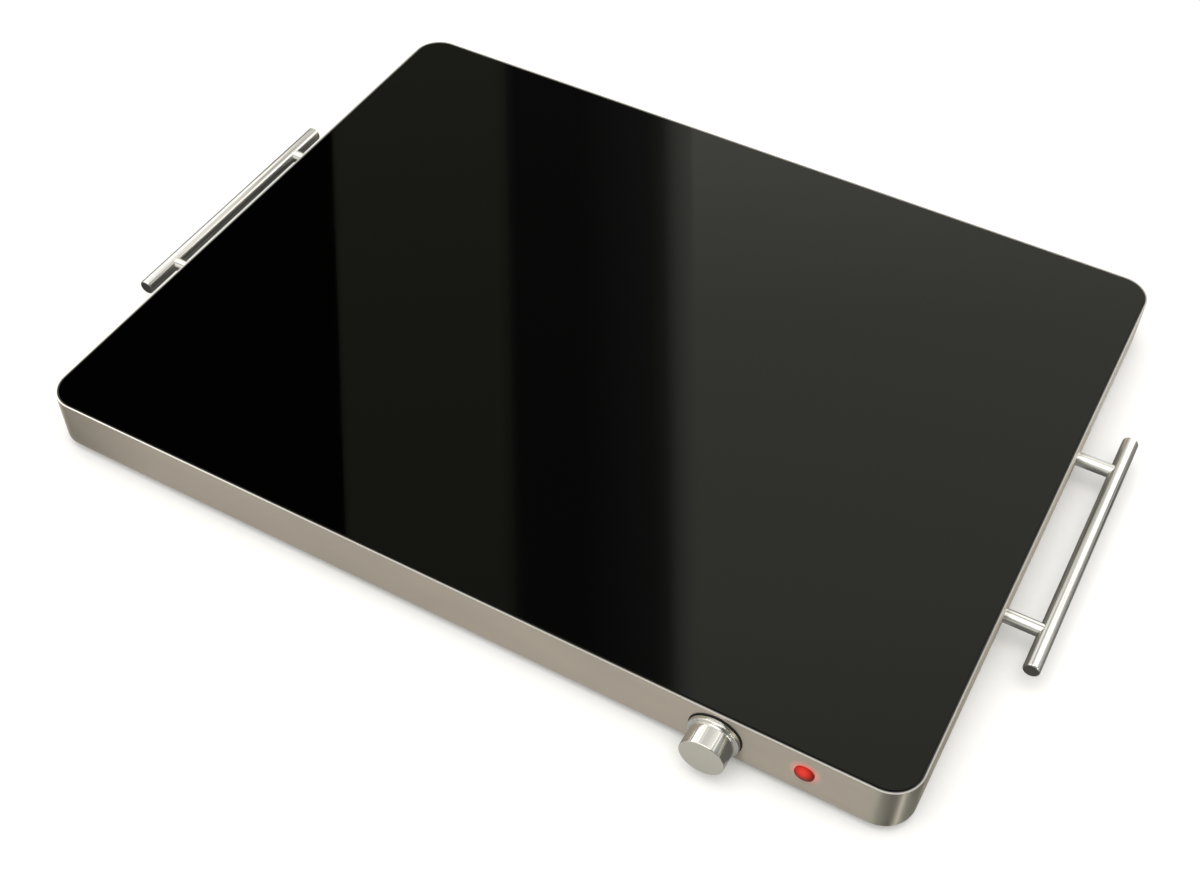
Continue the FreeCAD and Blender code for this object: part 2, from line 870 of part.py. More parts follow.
def inlet_outline(play, y0, y1):
    # The socket's body section: a rectangle with its two upper corners bevelled.
    half = inlet_body_width / 2 + play
    low = inlet_z - inlet_body_height / 2 - play
    high = inlet_z + inlet_body_height / 2 + play
    points = [V(inlet_x - half, y0, low), V(inlet_x + half, y0, low)]
    points += [V(inlet_x + half, y0, high - inlet_bevel), V(inlet_x + half - inlet_bevel, y0, high)]
    points += [V(inlet_x - half + inlet_bevel, y0, high), V(inlet_x - half, y0, high - inlet_bevel)]
    points.append(points[0])
    return Part.Face(Part.makePolygon(points)).extrude(V(0, y1 - y0, 0))


def inlet_pin_places():
    return [
        V(inlet_x - pin_pitch / 2, 0, inlet_z - line_pin_drop),
        V(inlet_x + pin_pitch / 2, 0, inlet_z - line_pin_drop),
        V(inlet_x, 0, inlet_z + earth_pin_rise),
    ]


def pin_box(place, play, y0, y1):
    half = pin_width / 2 + play
    rise = pin_height / 2 + play
    return block(place.x - half, place.x + half, y0, y1, place.z - rise, place.z + rise)


def make_inlet_body():
    half_width = inlet_flange_width / 2
    half_height = inlet_flange_height / 2
    left = inlet_x - half_width
    right = inlet_x + half_width
    flange = rounded_plate(left, right, -half_height, half_height, inlet_flange_corner, 0, inlet_flange)
    flange.rotate(V(0, 0, 0), RIGHT, -90)
    flange.translate(V(0, back_y, inlet_z))
    inner_end = back_y - inlet_depth
    body = flange.fuse(inlet_outline(0, inner_end, back_y + inlet_flange / 2)).removeSplitter()
    cavity = inlet_outline(-inlet_wall, inner_end + inlet_end_wall, back_y + inlet_flange + 1)
    holes = [cavity]
    for place in inlet_pin_places():
        holes.append(pin_box(place, running, inner_end - 1, inner_end + inlet_end_wall + 1))
    for place in inlet_screw_places():
        holes.append(rod(place - BACK, BACK, small_screw_radius + snug, inlet_flange + 2))
        head_seat = place + BACK * (inlet_flange - small_head_height)
        holes.append(rod(head_seat, BACK, small_head_radius + snug, inlet_flange))
    return body.cut(holes)


def inlet_tab_end():
    return back_y - inlet_depth - pin_tab


def make_inlet_pins():
    pins = []
    for place in inlet_pin_places():
        pins.append(pin_box(place, 0, inlet_tab_end(), back_y + inlet_flange - pin_recess))
    return pins


def make_inlet_screws():
    screws = []
    for place in inlet_screw_places():
        seat = place + BACK * (inlet_flange - small_head_height)
        screws.append(machine_screw(seat, BACK * -1, inlet_screw_length))
    return screws


def make_inlet_nuts():
    nuts = []
    bore = small_screw_radius + running
    for place in inlet_screw_places():
        seat = place - BACK * wall_sheet
        nuts.append(hex_nut(seat, BACK * -1, inlet_nut_flat, inlet_nut_height, bore))
    return nuts


# Heater

def heated_plate(inset, radius, z0, z1):
    x0 = left_x + side_margin + inset
    x1 = right_x - side_margin - inset
    y0 = front_y + front_margin + inset
    y1 = back_y - back_margin - inset
    return rounded_plate(x0, x1, y0, y1, radius, z0, z1)


cable_front_y = front_y + front_margin + mat_inset + cable_inset
cable_back_y = back_y - back_margin - mat_inset - cable_inset
run_pitch = (cable_back_y - cable_front_y) / (cable_runs - 1)
run_end_x = right_x - side_margin - mat_inset - snug - cable_diameter / 2 - slack - run_pitch / 2
cable_end_x = run_end_x + cable_tail
crimp_start_x = cable_end_x + snug


def make_heating_cable():
    # One unbroken cable: both ends leave at the right, at the front run and at the back run.
    edges = []
    side = 1
    last = V(cable_end_x, cable_front_y, cable_z)
    for run in range(cable_runs):
        y = cable_front_y + run * run_pitch
        run_out = V(-side * run_end_x, y, cable_z)
        if run == cable_runs - 1:
            run_out = V(cable_end_x, y, cable_z)
        edges.append(Part.LineSegment(last, run_out).toShape())
        if run < cable_runs - 1:
            crown = run_out + V(-side * run_pitch / 2, run_pitch / 2, 0)
            last = run_out + V(0, run_pitch, 0)
            edges.append(Part.Arc(run_out, crown, last).toShape())
        side = -side
    path = Part.Wire(edges)
    cable = swept(path, cable_diameter / 2, V(cable_end_x, cable_front_y, cable_z), RIGHT * -1)
    share = cable.Volume / (math.pi * cable_diameter ** 2 / 4 * path.Length)
    gap = run_pitch - cable_diameter
    print("heating_cable length", round(path.Length), "volume share", round(share, 4))
    print("heating_cable least gap", round(gap, 2))
    return cable


def make_heater_crimps():
    # Butt sleeves of the cable's own size, in line with its two ends.
    crimps = []
    for y in (cable_front_y, cable_back_y):
        start = V(crimp_start_x, y, cable_z)
        sleeve = rod(start, RIGHT, cable_diameter / 2, crimp_length)
        crimps.append(sleeve.cut(rod(start - RIGHT, RIGHT, lead_diameter / 2 + running, crimp_length + 2)))
    return crimps


def make_mat_tray():
    inset = mat_inset - slack
    outer_corner = mat_corner + mat_tray_sheet
    outer = heated_plate(inset - mat_tray_sheet, outer_corner, mat_tray_bottom, mat_top)
    inner_bottom = mat_tray_bottom + mat_tray_sheet
    return outer.cut(heated_plate(inset, mat_corner, inner_bottom, mat_top + 1))


def make_brace(x):
    half = brace_width / 2
    y0 = inner_front + snug
    y1 = inner_back - snug
    outer = block(x - half, x + half, y0, y1, flange_top, brace_top)
    x0 = x - half - 1
    x1 = x + half + 1
    low = flange_top + brace_sheet
    inside = block(x0, x1, y0 + brace_sheet, y1 - brace_sheet, low, brace_top - brace_sheet)
    under = block(x0, x1, y0 + brace_foot, y1 - brace_foot, flange_top - 1, low + 1)
    brace = outer.cut([inside, under])
    holes = []
    for y in (front_y + screw_line, back_y - screw_line):
        holes.append(rod(V(x, y, flange_top - 1), UP, tapping_radius + running, brace_sheet + 2))
    return brace.cut(holes)


# Sensor, fuse and their clips, all held against the underside of the spreader

bulb_y = front_y + front_margin + mat_inset / 2
fuse_y = back_y - fuse_from_back


def make_sensor_bulb():
    return rod(V(bulb_x, bulb_y, bulb_z), RIGHT, bulb_diameter / 2, bulb_length)


def make_thermal_fuse():
    return rod(V(fuse_x, fuse_y - fuse_length, bulb_z), BACK, bulb_diameter / 2, fuse_length)


def centred_block(centre, axis, along, across, z0, z1):
    # A block centred over a point: its length along the axis, its width across it.
    side = axis.cross(UP)
    half_x = abs(axis.x * along + side.x * across) / 2
    half_y = abs(axis.y * along + side.y * across) / 2
    return block(centre.x - half_x, centre.x + half_x, centre.y - half_y, centre.y + half_y, z0, z1)


def make_clip(centre, axis):
    # A saddle over a rod of the bulb's size, with a foot on each side under the spreader.
    inner = bulb_diameter / 2 + running
    outer = inner + clip_sheet
    saddle = rod(centre - axis * (clip_length / 2), axis, outer, clip_length)
    saddle = saddle.fuse(centred_block(centre, axis, clip_length, 2 * outer, bulb_z, spreader_bottom))
    feet_width = 2 * (outer + clip_foot)
    foot_bottom = spreader_bottom - clip_sheet
    feet = centred_block(centre, axis, clip_length, feet_width, foot_bottom, spreader_bottom)
    room = rod(centre - axis * clip_length, axis, inner, 2 * clip_length)
    above = centred_block(centre, axis, clip_length + 2, 2 * inner, bulb_z, spreader_bottom + 1)
    below = spreader_bottom - 2 * outer - clip_sheet
    inside = centred_block(centre, axis, clip_length, feet_width, below, spreader_bottom)
    return saddle.fuse(feet).common(inside).removeSplitter().cut([room, above])


def make_spreader_clips():
    clips = []
    for x in (bulb_x + clip_place, bulb_x + bulb_length - clip_place):
        clips.append(make_clip(V(x, bulb_y, bulb_z), RIGHT))
    clips.append(make_clip(V(fuse_x, fuse_y - fuse_length / 2, bulb_z), BACK))
    return clips


def make_capillary_tube():
    # Out of the back of the diaphragm, up and to the left into the end of the bulb.
    start = V(knob_x, inner_y(body_back), knob_z)
    end = V(bulb_x + bulb_length, bulb_y, bulb_z)
    points = [start, start + V(0, 20, 0), V(knob_x - 12, bulb_y - 18, knob_z + 7)]
    points += [V(end.x + 26, bulb_y, bulb_z), end]
    return lead(points, capillary_diameter, "capillary_tube")


# Wiring

block_y = back_y - block_from_back
live_pole_y = block_y + block_pole_pitch / 2
neutral_pole_y = block_y - block_pole_pitch / 2
block_left = block_x - block_length / 2
block_right = block_x + block_length / 2


def make_terminal_block():
    y0 = block_y - block_width / 2
    y1 = block_y + block_width / 2
    body = block(block_left, block_right, y0, y1, casing_bottom, casing_bottom + block_height)
    holes = []
    for y in (live_pole_y, neutral_pole_y):
        holes.append(rod(V(block_left - 1, y, bore_z), RIGHT, block_bore_radius, block_length + 2))
        for x in (block_x - block_screw_pitch / 2, block_x + block_screw_pitch / 2):
            holes.append(rod(V(x, y, bore_z), UP, small_screw_radius + running, block_height))
    return body.cut(holes)


def make_terminal_screws():
    screws = []
    low = bore_z + block_bore_radius + snug
    high = casing_bottom + block_height - block_screw_drop
    half_slot = driver_slot_width / 2
    for y in (live_pole_y, neutral_pole_y):
        for x in (block_x - block_screw_pitch / 2, block_x + block_screw_pitch / 2):
            screw = rod(V(x, y, low), UP, small_screw_radius, high - low)
            x0 = x - small_screw_radius - 1
            x1 = x + small_screw_radius + 1
            slot = block(x0, x1, y - half_slot, y + half_slot, high - driver_slot_depth, high + 1)
            screws.append(screw.cut(slot))
    return screws


def make_mains_leads():
    tab = inlet_tab_end() - snug
    neutral_pin, live_pin = inlet_pin_places()[:2]
    neutral = [V(neutral_pin.x, tab, neutral_pin.z), V(neutral_pin.x, tab - 20, neutral_pin.z)]
    neutral += [V(neutral_pin.x + 19, neutral_pole_y, bore_z), V(block_x - 1, neutral_pole_y, bore_z)]
    live = [V(live_pin.x, tab, live_pin.z), V(live_pin.x, tab - 14, live_pin.z)]
    live += [V(live_pin.x + 12, live_pole_y, bore_z), V(block_x - 1, live_pole_y, bore_z)]
    lane = lane_x + lane_pitch
    blade = V(knob_x - blade_x, inner_y(blade_end) + snug, knob_z)
    supply = [V(block_x + 1, live_pole_y, bore_z), V(lane, live_pole_y, bore_z)]
    supply += [V(lane, front_y + 105, bore_z), V(lane - 30, front_y + 72, bore_z)]
    supply += [V(knob_x + 14, front_y + 68, bore_z)]
    supply += [V(blade.x + 2, front_y + 64, bore_z + 5), V(blade.x, blade.y + 13, knob_z), blade]
    solids = [lead(neutral, lead_diameter, "neutral lead"), lead(live, lead_diameter, "live lead")]
    solids.append(lead(supply, lead_diameter, "thermostat lead"))
    return solids


def make_heater_leads():
    blade = V(knob_x + blade_x, inner_y(blade_end) + snug, knob_z + pair_offset)
    start = crimp_start_x + slack
    front = [V(start, cable_front_y, cable_z), V(start + 22, cable_front_y, cable_z)]
    front += [V(start + 26, cable_front_y - 20, cable_z - 4), V(start + 8, cable_front_y - 33, cable_z - 8)]
    front += [V(blade.x + 14, front_y + 72, blade.z + 1), V(blade.x, front_y + 58, blade.z), blade]
    to_fuse = [V(start, cable_back_y, cable_z), V(fuse_x, cable_back_y, cable_z)]
    to_fuse += [V(fuse_x, fuse_y, cable_z)]
    out = fuse_y - fuse_length
    turn = out - 24
    z = bore_z + pair_offset
    from_fuse = [V(fuse_x, out, bulb_z), V(fuse_x, turn, bulb_z), V(fuse_x + 2, turn, z)]
    from_fuse += [V(fuse_x + 3, neutral_pole_y - 15, z), V(fuse_x - 8, neutral_pole_y, z)]
    from_fuse += [V(block_x + 1, neutral_pole_y, z)]
    return [
        lead(front, lead_diameter, "heater front lead"),
        lead(to_fuse, lead_diameter, "heater back lead"),
        lead(from_fuse, lead_diameter, "fuse lead"),
    ]


def make_lamp_leads():
    tab_y = front_y + lamp_tab_end() + snug
    neutral_tab = V(lamp_x + lamp_tab_pitch / 2, tab_y, lamp_z)
    neutral = [V(block_x + 1, neutral_pole_y, low_lane_z), V(lane_x, neutral_pole_y, low_lane_z)]
    neutral += [V(lane_x, front_y + 110, low_lane_z), V(lane_x - 8, front_y + 82, low_lane_z + 9)]
    neutral += [V(neutral_tab.x, tab_y + 22, lamp_z), neutral_tab]
    blade = V(knob_x + blade_x, inner_y(blade_end) + snug, knob_z - pair_offset)
    live_tab = V(lamp_x - lamp_tab_pitch / 2, tab_y, lamp_z)
    live = [blade, blade + V(0, 16, 0), blade + V(16, 24, -2), live_tab + V(-8, 19, -2)]
    live += [live_tab + V(0, 10, 0), live_tab]
    return [lead(neutral, lead_diameter, "lamp neutral lead"), lead(live, lead_diameter, "lamp live lead")]


earth_y = back_y - earth_from_back
ring_z = casing_bottom + ring_sheet


def make_earth_lead():
    # The lead from the inlet's earth tab, and the ring terminal under the earth screw.
    pin = inlet_pin_places()[2]
    tab = inlet_tab_end() - snug
    barrel_start = earth_x + ring_radius + ring_neck_gap
    lead_end = barrel_start + barrel_core
    half_neck = ring_neck_width / 2
    z = ring_z + lead_diameter / 2
    points = [V(pin.x, tab, pin.z), V(pin.x, tab - 14, pin.z), V(pin.x - 19, tab - 30, pin.z - 4)]
    points += [V(lead_end + 20, earth_y, z), V(lead_end, earth_y, z)]
    ring = rod(V(earth_x, earth_y, casing_bottom), UP, ring_radius, ring_sheet)
    neck = block(earth_x, lead_end, earth_y - half_neck, earth_y + half_neck, casing_bottom, ring_z)
    hole = rod(V(earth_x, earth_y, casing_bottom - 1), UP, tapping_radius + snug, ring_sheet + 2)
    barrel = rod(V(barrel_start, earth_y, z), RIGHT, lead_diameter / 2 + barrel_wall, barrel_length)
    bore = rod(V(lead_end - snug, earth_y, z), RIGHT, lead_diameter / 2 + running, barrel_length)
    terminal = ring.fuse([neck, barrel]).removeSplitter().cut([hole, bore])
    return [lead(points, lead_diameter, "earth lead"), terminal]


def make_earth_screw():
    seat = V(earth_x, earth_y, ring_z)
    return sheet_screw(seat, UP * -1, earth_screw_length)


def make_cable_clips():
    clips = []
    for index in range(lane_clips):
        y = front_y + lane_clip_first + index * lane_clip_pitch
        x0 = lane_x - lead_diameter / 2 - lane_clip_wall
        x1 = lane_x + lane_pitch + lead_diameter / 2 + lane_clip_wall
        high = bore_z + lead_diameter / 2 + lane_clip_wall / 2
        body = block(x0, x1, y, y + lane_clip_length, casing_bottom, high)
        holes = []
        for x, z in ((lane_x, low_lane_z), (lane_x + lane_pitch, bore_z)):
            holes.append(rod(V(x, y - 1, z), BACK, lead_diameter / 2 + snug, lane_clip_length + 2))
        clips.append(body.cut(holes))
    return clips


# Build every piece

os.makedirs("parts", exist_ok=True)

save("casing", make_casing())
save("base_plate", make_base_plate())
for foot_name, foot_place in foot_places().items():
    save(foot_name, make_foot(foot_place))
save("foot_screws", make_foot_screws())
save("base_screws", make_base_screws())

save("glass_top", make_glass_top())
save("glass_seal", make_glass_seal())
save("glass_frame", make_glass_frame())

side_names = {-1: "left", 1: "right"}
end_names = {-1: "front", 1: "back"}
for side in side_names:
    save("handle_bar_" + side_names[side], make_handle_bar(side))
for side, end, post_place in handle_places():
    save("handle_post_" + side_names[side] + "_" + end_names[end], make_handle_post(side, post_place))
save("handle_screws", make_handle_screws())
save("handle_washers", make_handle_washers())

save("control_knob", make_control_knob())
save("knob_hub", make_knob_hub())
save("knob_seal", make_knob_seal())

save("thermostat_bracket", make_thermostat_bracket())
save("spindle_bush", make_spindle_bush())
save("thermostat_spindle", make_thermostat_spindle())
save("thermostat_body", make_thermostat_body())
save("thermostat_plunger", make_thermostat_plunger())
save("thermostat_diaphragm", make_thermostat_diaphragm())
save("switch_leaf", make_switch_leaf())
save("thermostat_terminals", make_thermostat_terminals())
save("thermostat_screws", make_thermostat_screws())

save("lamp_lens", make_lamp_lens())
save("lamp_body", make_lamp_body())
save("lamp_nut", make_lamp_nut())
save("neon_lamp", make_neon_lamp())

save("inlet_body", make_inlet_body())
save("inlet_pins", make_inlet_pins())
save("inlet_screws", make_inlet_screws())
save("inlet_nuts", make_inlet_nuts())

save("heat_spreader", heated_plate(0, spreader_corner, spreader_bottom, spreader_top))
save("heating_cable", make_heating_cable())
save("heater_crimps", make_heater_crimps())
save("insulation_mat", heated_plate(mat_inset, mat_corner, mat_bottom, mat_top))
save("mat_tray", make_mat_tray())
for brace_name, brace_place in brace_places().items():
    save(brace_name, make_brace(brace_place))

save("sensor_bulb", make_sensor_bulb())
save("thermal_fuse", make_thermal_fuse())
save("spreader_clips", make_spreader_clips())
save("capillary_tube", make_capillary_tube())

save("terminal_block", make_terminal_block())
save("terminal_screws", make_terminal_screws())
save("mains_leads", make_mains_leads())
save("heater_leads", make_heater_leads())
save("lamp_leads", make_lamp_leads())
save("earth_lead", make_earth_lead())
save("earth_screw", make_earth_screw())
save("cable_clips", make_cable_clips())
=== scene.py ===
import math

import bmesh
import bpy
from mathutils import Euler, Matrix, Vector


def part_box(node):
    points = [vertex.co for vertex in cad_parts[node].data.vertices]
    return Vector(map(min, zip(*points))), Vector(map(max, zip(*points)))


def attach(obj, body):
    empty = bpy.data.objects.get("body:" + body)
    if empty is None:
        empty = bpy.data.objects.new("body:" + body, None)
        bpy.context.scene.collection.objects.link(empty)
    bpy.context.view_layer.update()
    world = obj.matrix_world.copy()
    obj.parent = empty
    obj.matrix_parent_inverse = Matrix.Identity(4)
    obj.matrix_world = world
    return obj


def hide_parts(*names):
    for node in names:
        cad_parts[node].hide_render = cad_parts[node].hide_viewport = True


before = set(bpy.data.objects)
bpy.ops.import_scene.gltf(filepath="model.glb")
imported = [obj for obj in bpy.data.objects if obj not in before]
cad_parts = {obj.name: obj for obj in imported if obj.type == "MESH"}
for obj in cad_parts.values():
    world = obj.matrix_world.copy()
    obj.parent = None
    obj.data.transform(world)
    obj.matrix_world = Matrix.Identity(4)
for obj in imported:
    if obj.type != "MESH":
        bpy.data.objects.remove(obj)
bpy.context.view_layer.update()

# Camera
# It stands in front of the tray, to its right and well above it, where the photographer stood.
# The picture is not shifted, and nothing is out of focus.
camera_place = Vector((0.370316, -0.722879, 0.863144))
camera_tilt = math.radians(41.6)
camera_roll = math.radians(-0.929)
camera_heading = math.radians(28.814)
camera_lens = 47.606
sensor_width = 36.0

camera_turn = Euler((camera_tilt, camera_roll, camera_heading))
bpy.ops.object.camera_add(location=camera_place, rotation=camera_turn)
camera = bpy.context.object
camera.data.lens = camera_lens
camera.data.sensor_width = sensor_width
bpy.context.scene.camera = camera
bpy.context.scene.view_settings.view_transform = "Standard"

# Casing
# One band of brushed stainless sheet, folded round four corners and welded into a ring at the back.
# Its lower edge is turned inwards as a flange, to which the base plate is screwed.
casing_low, casing_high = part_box("casing")
centre_y = (casing_low.y + casing_high.y) / 2
half_width = casing_high.x
half_depth = (casing_high.y - casing_low.y) / 2
corner_radius = 0.022
corner_steps = 20
wall_sheet = 0.0012
flange_width = 0.014
fold_radius = 0.0014
sheared_edge = 0.00018
rim_depth = 1.2 * sheared_edge
touch = 0.0001
round_touch = 0.0003
level_facing = 0.9
steel_colour = (0.61, 0.548, 0.462)
# The rim's colour is darker than the wall's: painted shade that dims its highlight.
shaded_rim_colour = (0.5, 0.485, 0.45)
# Painted light: a red glow in the casing steel's own emission round the pilot lamp.
painted_glow_reach = 0.011
painted_glow_colour = (1.0, 0.05, 0.03)
painted_glow_strength = 0.5


def rounded_sheet(name, half_x, half_y, corner, height, steps):
    # A flat sheet with four round corners over the middle of the casing, left open in edit mode.
    bpy.ops.object.select_all(action="DESELECT")
    bpy.ops.mesh.primitive_plane_add(size=2, location=(0, centre_y, height))
    piece = bpy.context.object
    piece.name = name
    piece.scale = (half_x, half_y, 1)
    bpy.ops.object.transform_apply(location=True, rotation=True, scale=True)
    bpy.ops.object.mode_set(mode="EDIT")
    bpy.ops.mesh.select_all(action="SELECT")
    bpy.ops.mesh.bevel(offset=corner, offset_type="OFFSET", segments=steps, affect="VERTICES")
    bpy.ops.mesh.select_all(action="SELECT")
    return piece


def raise_selection(step):
    bpy.ops.mesh.extrude_region_move(TRANSFORM_OT_translate={"value": step})


def pick_level_faces(piece):
    # Selects the faces that face straight up or down.
    bpy.ops.mesh.select_mode(type="FACE")
    bpy.ops.mesh.select_all(action="DESELECT")
    mesh = bmesh.from_edit_mesh(piece.data)
    for face in mesh.faces:
        face.select_set(abs(face.normal.z) > level_facing)
    bmesh.update_edit_mesh(piece.data)


def pick_edges(piece, test):
    # Selects the edges both of whose ends pass the test.
    bpy.ops.mesh.select_mode(type="EDGE")
    bpy.ops.mesh.select_all(action="DESELECT")
    mesh = bmesh.from_edit_mesh(piece.data)
    for edge in mesh.edges:
        edge.select_set(all(test(vertex.co) for vertex in edge.verts))
    bmesh.update_edit_mesh(piece.data)


def outward(piece):
    # Merges doubled points and turns every face outwards, then leaves edit mode.
    bpy.ops.mesh.select_mode(type="VERT")
    bpy.ops.mesh.select_all(action="SELECT")
    bpy.ops.mesh.remove_doubles(threshold=0.000002)
    bpy.ops.mesh.normals_make_consistent(inside=False)
    bpy.ops.object.mode_set(mode="OBJECT")
    return piece


def modify(piece, kind, **settings):
    # Adds a modifier with these settings and applies it.
    bpy.context.view_layer.objects.active = piece
    modifier = piece.modifiers.new(kind.title(), kind)
    for name, value in settings.items():
        setattr(modifier, name, value)
    bpy.ops.object.modifier_apply(modifier=modifier.name)


def ease_edges(piece, width, segments, degrees=35):
    modify(piece, "BEVEL", width=width, segments=segments, limit_method="ANGLE",
           angle_limit=math.radians(degrees), use_clamp_overlap=True)


def cutting_rod(start, axis, radius, length):
    # A drill: a rod from a point along an axis.
    direction = Vector(axis).normalized()
    middle = Vector(start) + direction * (length / 2)
    turn = direction.to_track_quat("Z", "Y").to_euler()
    bpy.ops.object.select_all(action="DESELECT")
    bpy.ops.mesh.primitive_cylinder_add(vertices=48, radius=radius, depth=length, location=middle,
                                        rotation=turn)
    bpy.ops.object.transform_apply(location=True, rotation=True, scale=True)
    return bpy.context.object


def cut_away(piece, cutters):
    # Cuts all the cutters out of a piece at once and throws them away.
    bpy.ops.object.select_all(action="DESELECT")
    for cutter in cutters:
        cutter.select_set(True)
    bpy.context.view_layer.objects.active = cutters[0]
    if len(cutters) > 1:
        bpy.ops.object.join()
    modify(piece, "BOOLEAN", operation="DIFFERENCE", solver="EXACT", object=cutters[0])
    bpy.data.objects.remove(cutters[0])


def upright_plate(name, half_x, half_z, corner, steps, all_corners, y, depth):
    # A plate that stands in the back wall: drawn flat, given its corners, thickened and stood up.
    bpy.ops.object.select_all(action="DESELECT")
    bpy.ops.mesh.primitive_plane_add(size=2)
    piece = bpy.context.object
    piece.name = name
    piece.scale = (half_x, half_z, 1)
    bpy.ops.object.transform_apply(location=True, rotation=True, scale=True)
    bpy.ops.object.mode_set(mode="EDIT")
    bpy.ops.mesh.select_mode(type="VERT")
    bpy.ops.mesh.select_all(action="DESELECT")
    mesh = bmesh.from_edit_mesh(piece.data)
    for vertex in mesh.verts:
        vertex.select_set(all_corners or vertex.co.y > 0)
    bmesh.update_edit_mesh(piece.data)
    bpy.ops.mesh.bevel(offset=corner, offset_type="OFFSET", segments=steps, affect="VERTICES")
    bpy.ops.mesh.select_all(action="SELECT")
    raise_selection((0, 0, -depth))
    outward(piece)
    piece.matrix_world = Matrix.Translation((inlet_x, y, inlet_z)) @ Matrix.Rotation(math.pi / 2, 4, "X")
    bpy.ops.object.transform_apply(location=True, rotation=True, scale=True)
    return piece


def shade(piece, degrees=30):
    # Smooth where the form is round; flat faces keep their own normals up to their eased edges.
    bpy.ops.object.select_all(action="DESELECT")
    piece.select_set(True)
    bpy.context.view_layer.objects.active = piece
    bpy.ops.object.shade_smooth_by_angle(angle=math.radians(degrees))
    modify(piece, "WEIGHTED_NORMAL", mode="FACE_AREA", weight=100, keep_sharp=True)


def new_finish(name, colour, metallic, roughness):
    finish = bpy.data.materials.new(name)
    finish.use_nodes = True
    surface = finish.node_tree.nodes["Principled BSDF"]
    surface.inputs["Base Color"].default_value = (*colour, 1)
    surface.inputs["Metallic"].default_value = metallic
    surface.inputs["Roughness"].default_value = roughness
    return finish, surface


def pattern(finish, kind, marks, **values):
    # A noise or cell pattern in the part's own frame, with this many marks per metre along x, y and z.
    nodes = finish.node_tree.nodes
    links = finish.node_tree.links
    place = nodes.new("ShaderNodeTexCoord")
    stretch = nodes.new("ShaderNodeMapping")
    stretch.inputs["Scale"].default_value = marks
    texture = nodes.new(kind)
    texture.inputs["Scale"].default_value = 1.0
    for name, value in values.items():
        texture.inputs[name].default_value = value
    links.new(place.outputs["Object"], stretch.inputs["Vector"])
    links.new(stretch.outputs["Vector"], texture.inputs["Vector"])
    return texture.outputs[0]


def vary(finish, source, target, low, high, start=0.3, end=0.7):
    # Drives a socket from one value to another as the pattern rises.
    span = finish.node_tree.nodes.new("ShaderNodeMapRange")
    span.inputs["From Min"].default_value = start
    span.inputs["From Max"].default_value = end
    span.inputs["To Min"].default_value = low
    span.inputs["To Max"].default_value = high
    finish.node_tree.links.new(source, span.inputs["Value"])
    finish.node_tree.links.new(span.outputs["Result"], target)


def tint(finish, source, surface, first, second, start=0.3, end=0.7):
    # Colours the surface between two tones as the pattern rises.
    ramp = finish.node_tree.nodes.new("ShaderNodeValToRGB")
    ramp.color_ramp.elements[0].position = start
    ramp.color_ramp.elements[0].color = (*first, 1)
    ramp.color_ramp.elements[1].position = end
    ramp.color_ramp.elements[1].color = (*second, 1)
    finish.node_tree.links.new(source, ramp.inputs["Fac"])
    finish.node_tree.links.new(ramp.outputs["Color"], surface.inputs["Base Color"])


def lit_place(finish, centre, reach):
    # Rises from nothing at this reach from a place to one at the place itself.
    nodes = finish.node_tree.nodes
    links = finish.node_tree.links
    place = nodes.new("ShaderNodeTexCoord")
    shift = nodes.new("ShaderNodeMapping")
    shift.inputs["Location"].default_value = -Vector(centre) / reach
    shift.inputs["Scale"].default_value = (1 / reach, 1 / reach, 1 / reach)
    ball = nodes.new("ShaderNodeTexGradient")
    ball.gradient_type = "SPHERICAL"
    links.new(place.outputs["Object"], shift.inputs["Vector"])
    links.new(shift.outputs["Vector"], ball.inputs["Vector"])
    return ball.outputs["Fac"]


def relief(finish, source, surface, height):
    # Raises the surface by up to this height where the pattern is high.
    bump = finish.node_tree.nodes.new("ShaderNodeBump")
    bump.inputs["Distance"].default_value = height
    finish.node_tree.links.new(source, bump.inputs["Height"])
    finish.node_tree.links.new(bump.outputs["Normal"], surface.inputs["Normal"])


def shaded(colour, share):
    return tuple(channel * share for channel in colour)


def brushed_steel(name, colour, marks, roughness, spread, depth, anisotropy=0.0, tones=(9, 9, 30),
                  contrast=0.05):
    # Steel with fine brush lines, long where the marks are few and thin where they are many.
    # Anisotropy smears the reflections across lines that run round the tray.
    finish, surface = new_finish(name, colour, 1.0, roughness)
    lines = pattern(finish, "ShaderNodeTexNoise", marks, Detail=3.0, Roughness=0.7)
    broad = pattern(finish, "ShaderNodeTexNoise", tones, Detail=2.0, Roughness=0.5)
    vary(finish, lines, surface.inputs["Roughness"], roughness - spread, roughness + spread)
    tint(finish, broad, surface, shaded(colour, 1 - contrast), shaded(colour, 1 + contrast))
    relief(finish, lines, surface, depth)
    if anisotropy:
        surface.inputs["Anisotropic"].default_value = anisotropy
        tangent = finish.node_tree.nodes.new("ShaderNodeTangent")
        tangent.direction_type = "RADIAL"
        tangent.axis = "Z"
        finish.node_tree.links.new(tangent.outputs["Tangent"], surface.inputs["Tangent"])
        quarter_turn = 0.25
        surface.inputs["Anisotropic Rotation"].default_value = quarter_turn
    return finish


def dress(material, *node_names):
    # Gives CAD nodes their finish.
    for node_name in node_names:
        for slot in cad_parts[node_name].material_slots:
            slot.material = material


stainless = brushed_steel("stainless", steel_colour, marks=(5, 5, 2600), roughness=0.38, spread=0.05,
                          depth=0.000004, anisotropy=1.0)
# Partly real and partly painted shade: the sheared rim is not brushed round the tray, and its colour, darker
# than the wall's, dims its highlight.
shaded_rim_steel = brushed_steel("shaded_rim_steel", shaded_rim_colour, marks=(9, 9, 9), roughness=0.3, spread=0.05,
                          depth=0.000002)

casing = rounded_sheet("casing_band", half_width, half_depth, corner_radius, casing_low.z, corner_steps)
raise_selection((0, 0, casing_high.z - casing_low.z))
bpy.ops.mesh.delete(type="ONLY_FACE")
pick_level_faces(casing)
bpy.ops.mesh.inset(thickness=wall_sheet + flange_width, use_even_offset=True)
bpy.ops.mesh.delete(type="ONLY_FACE")


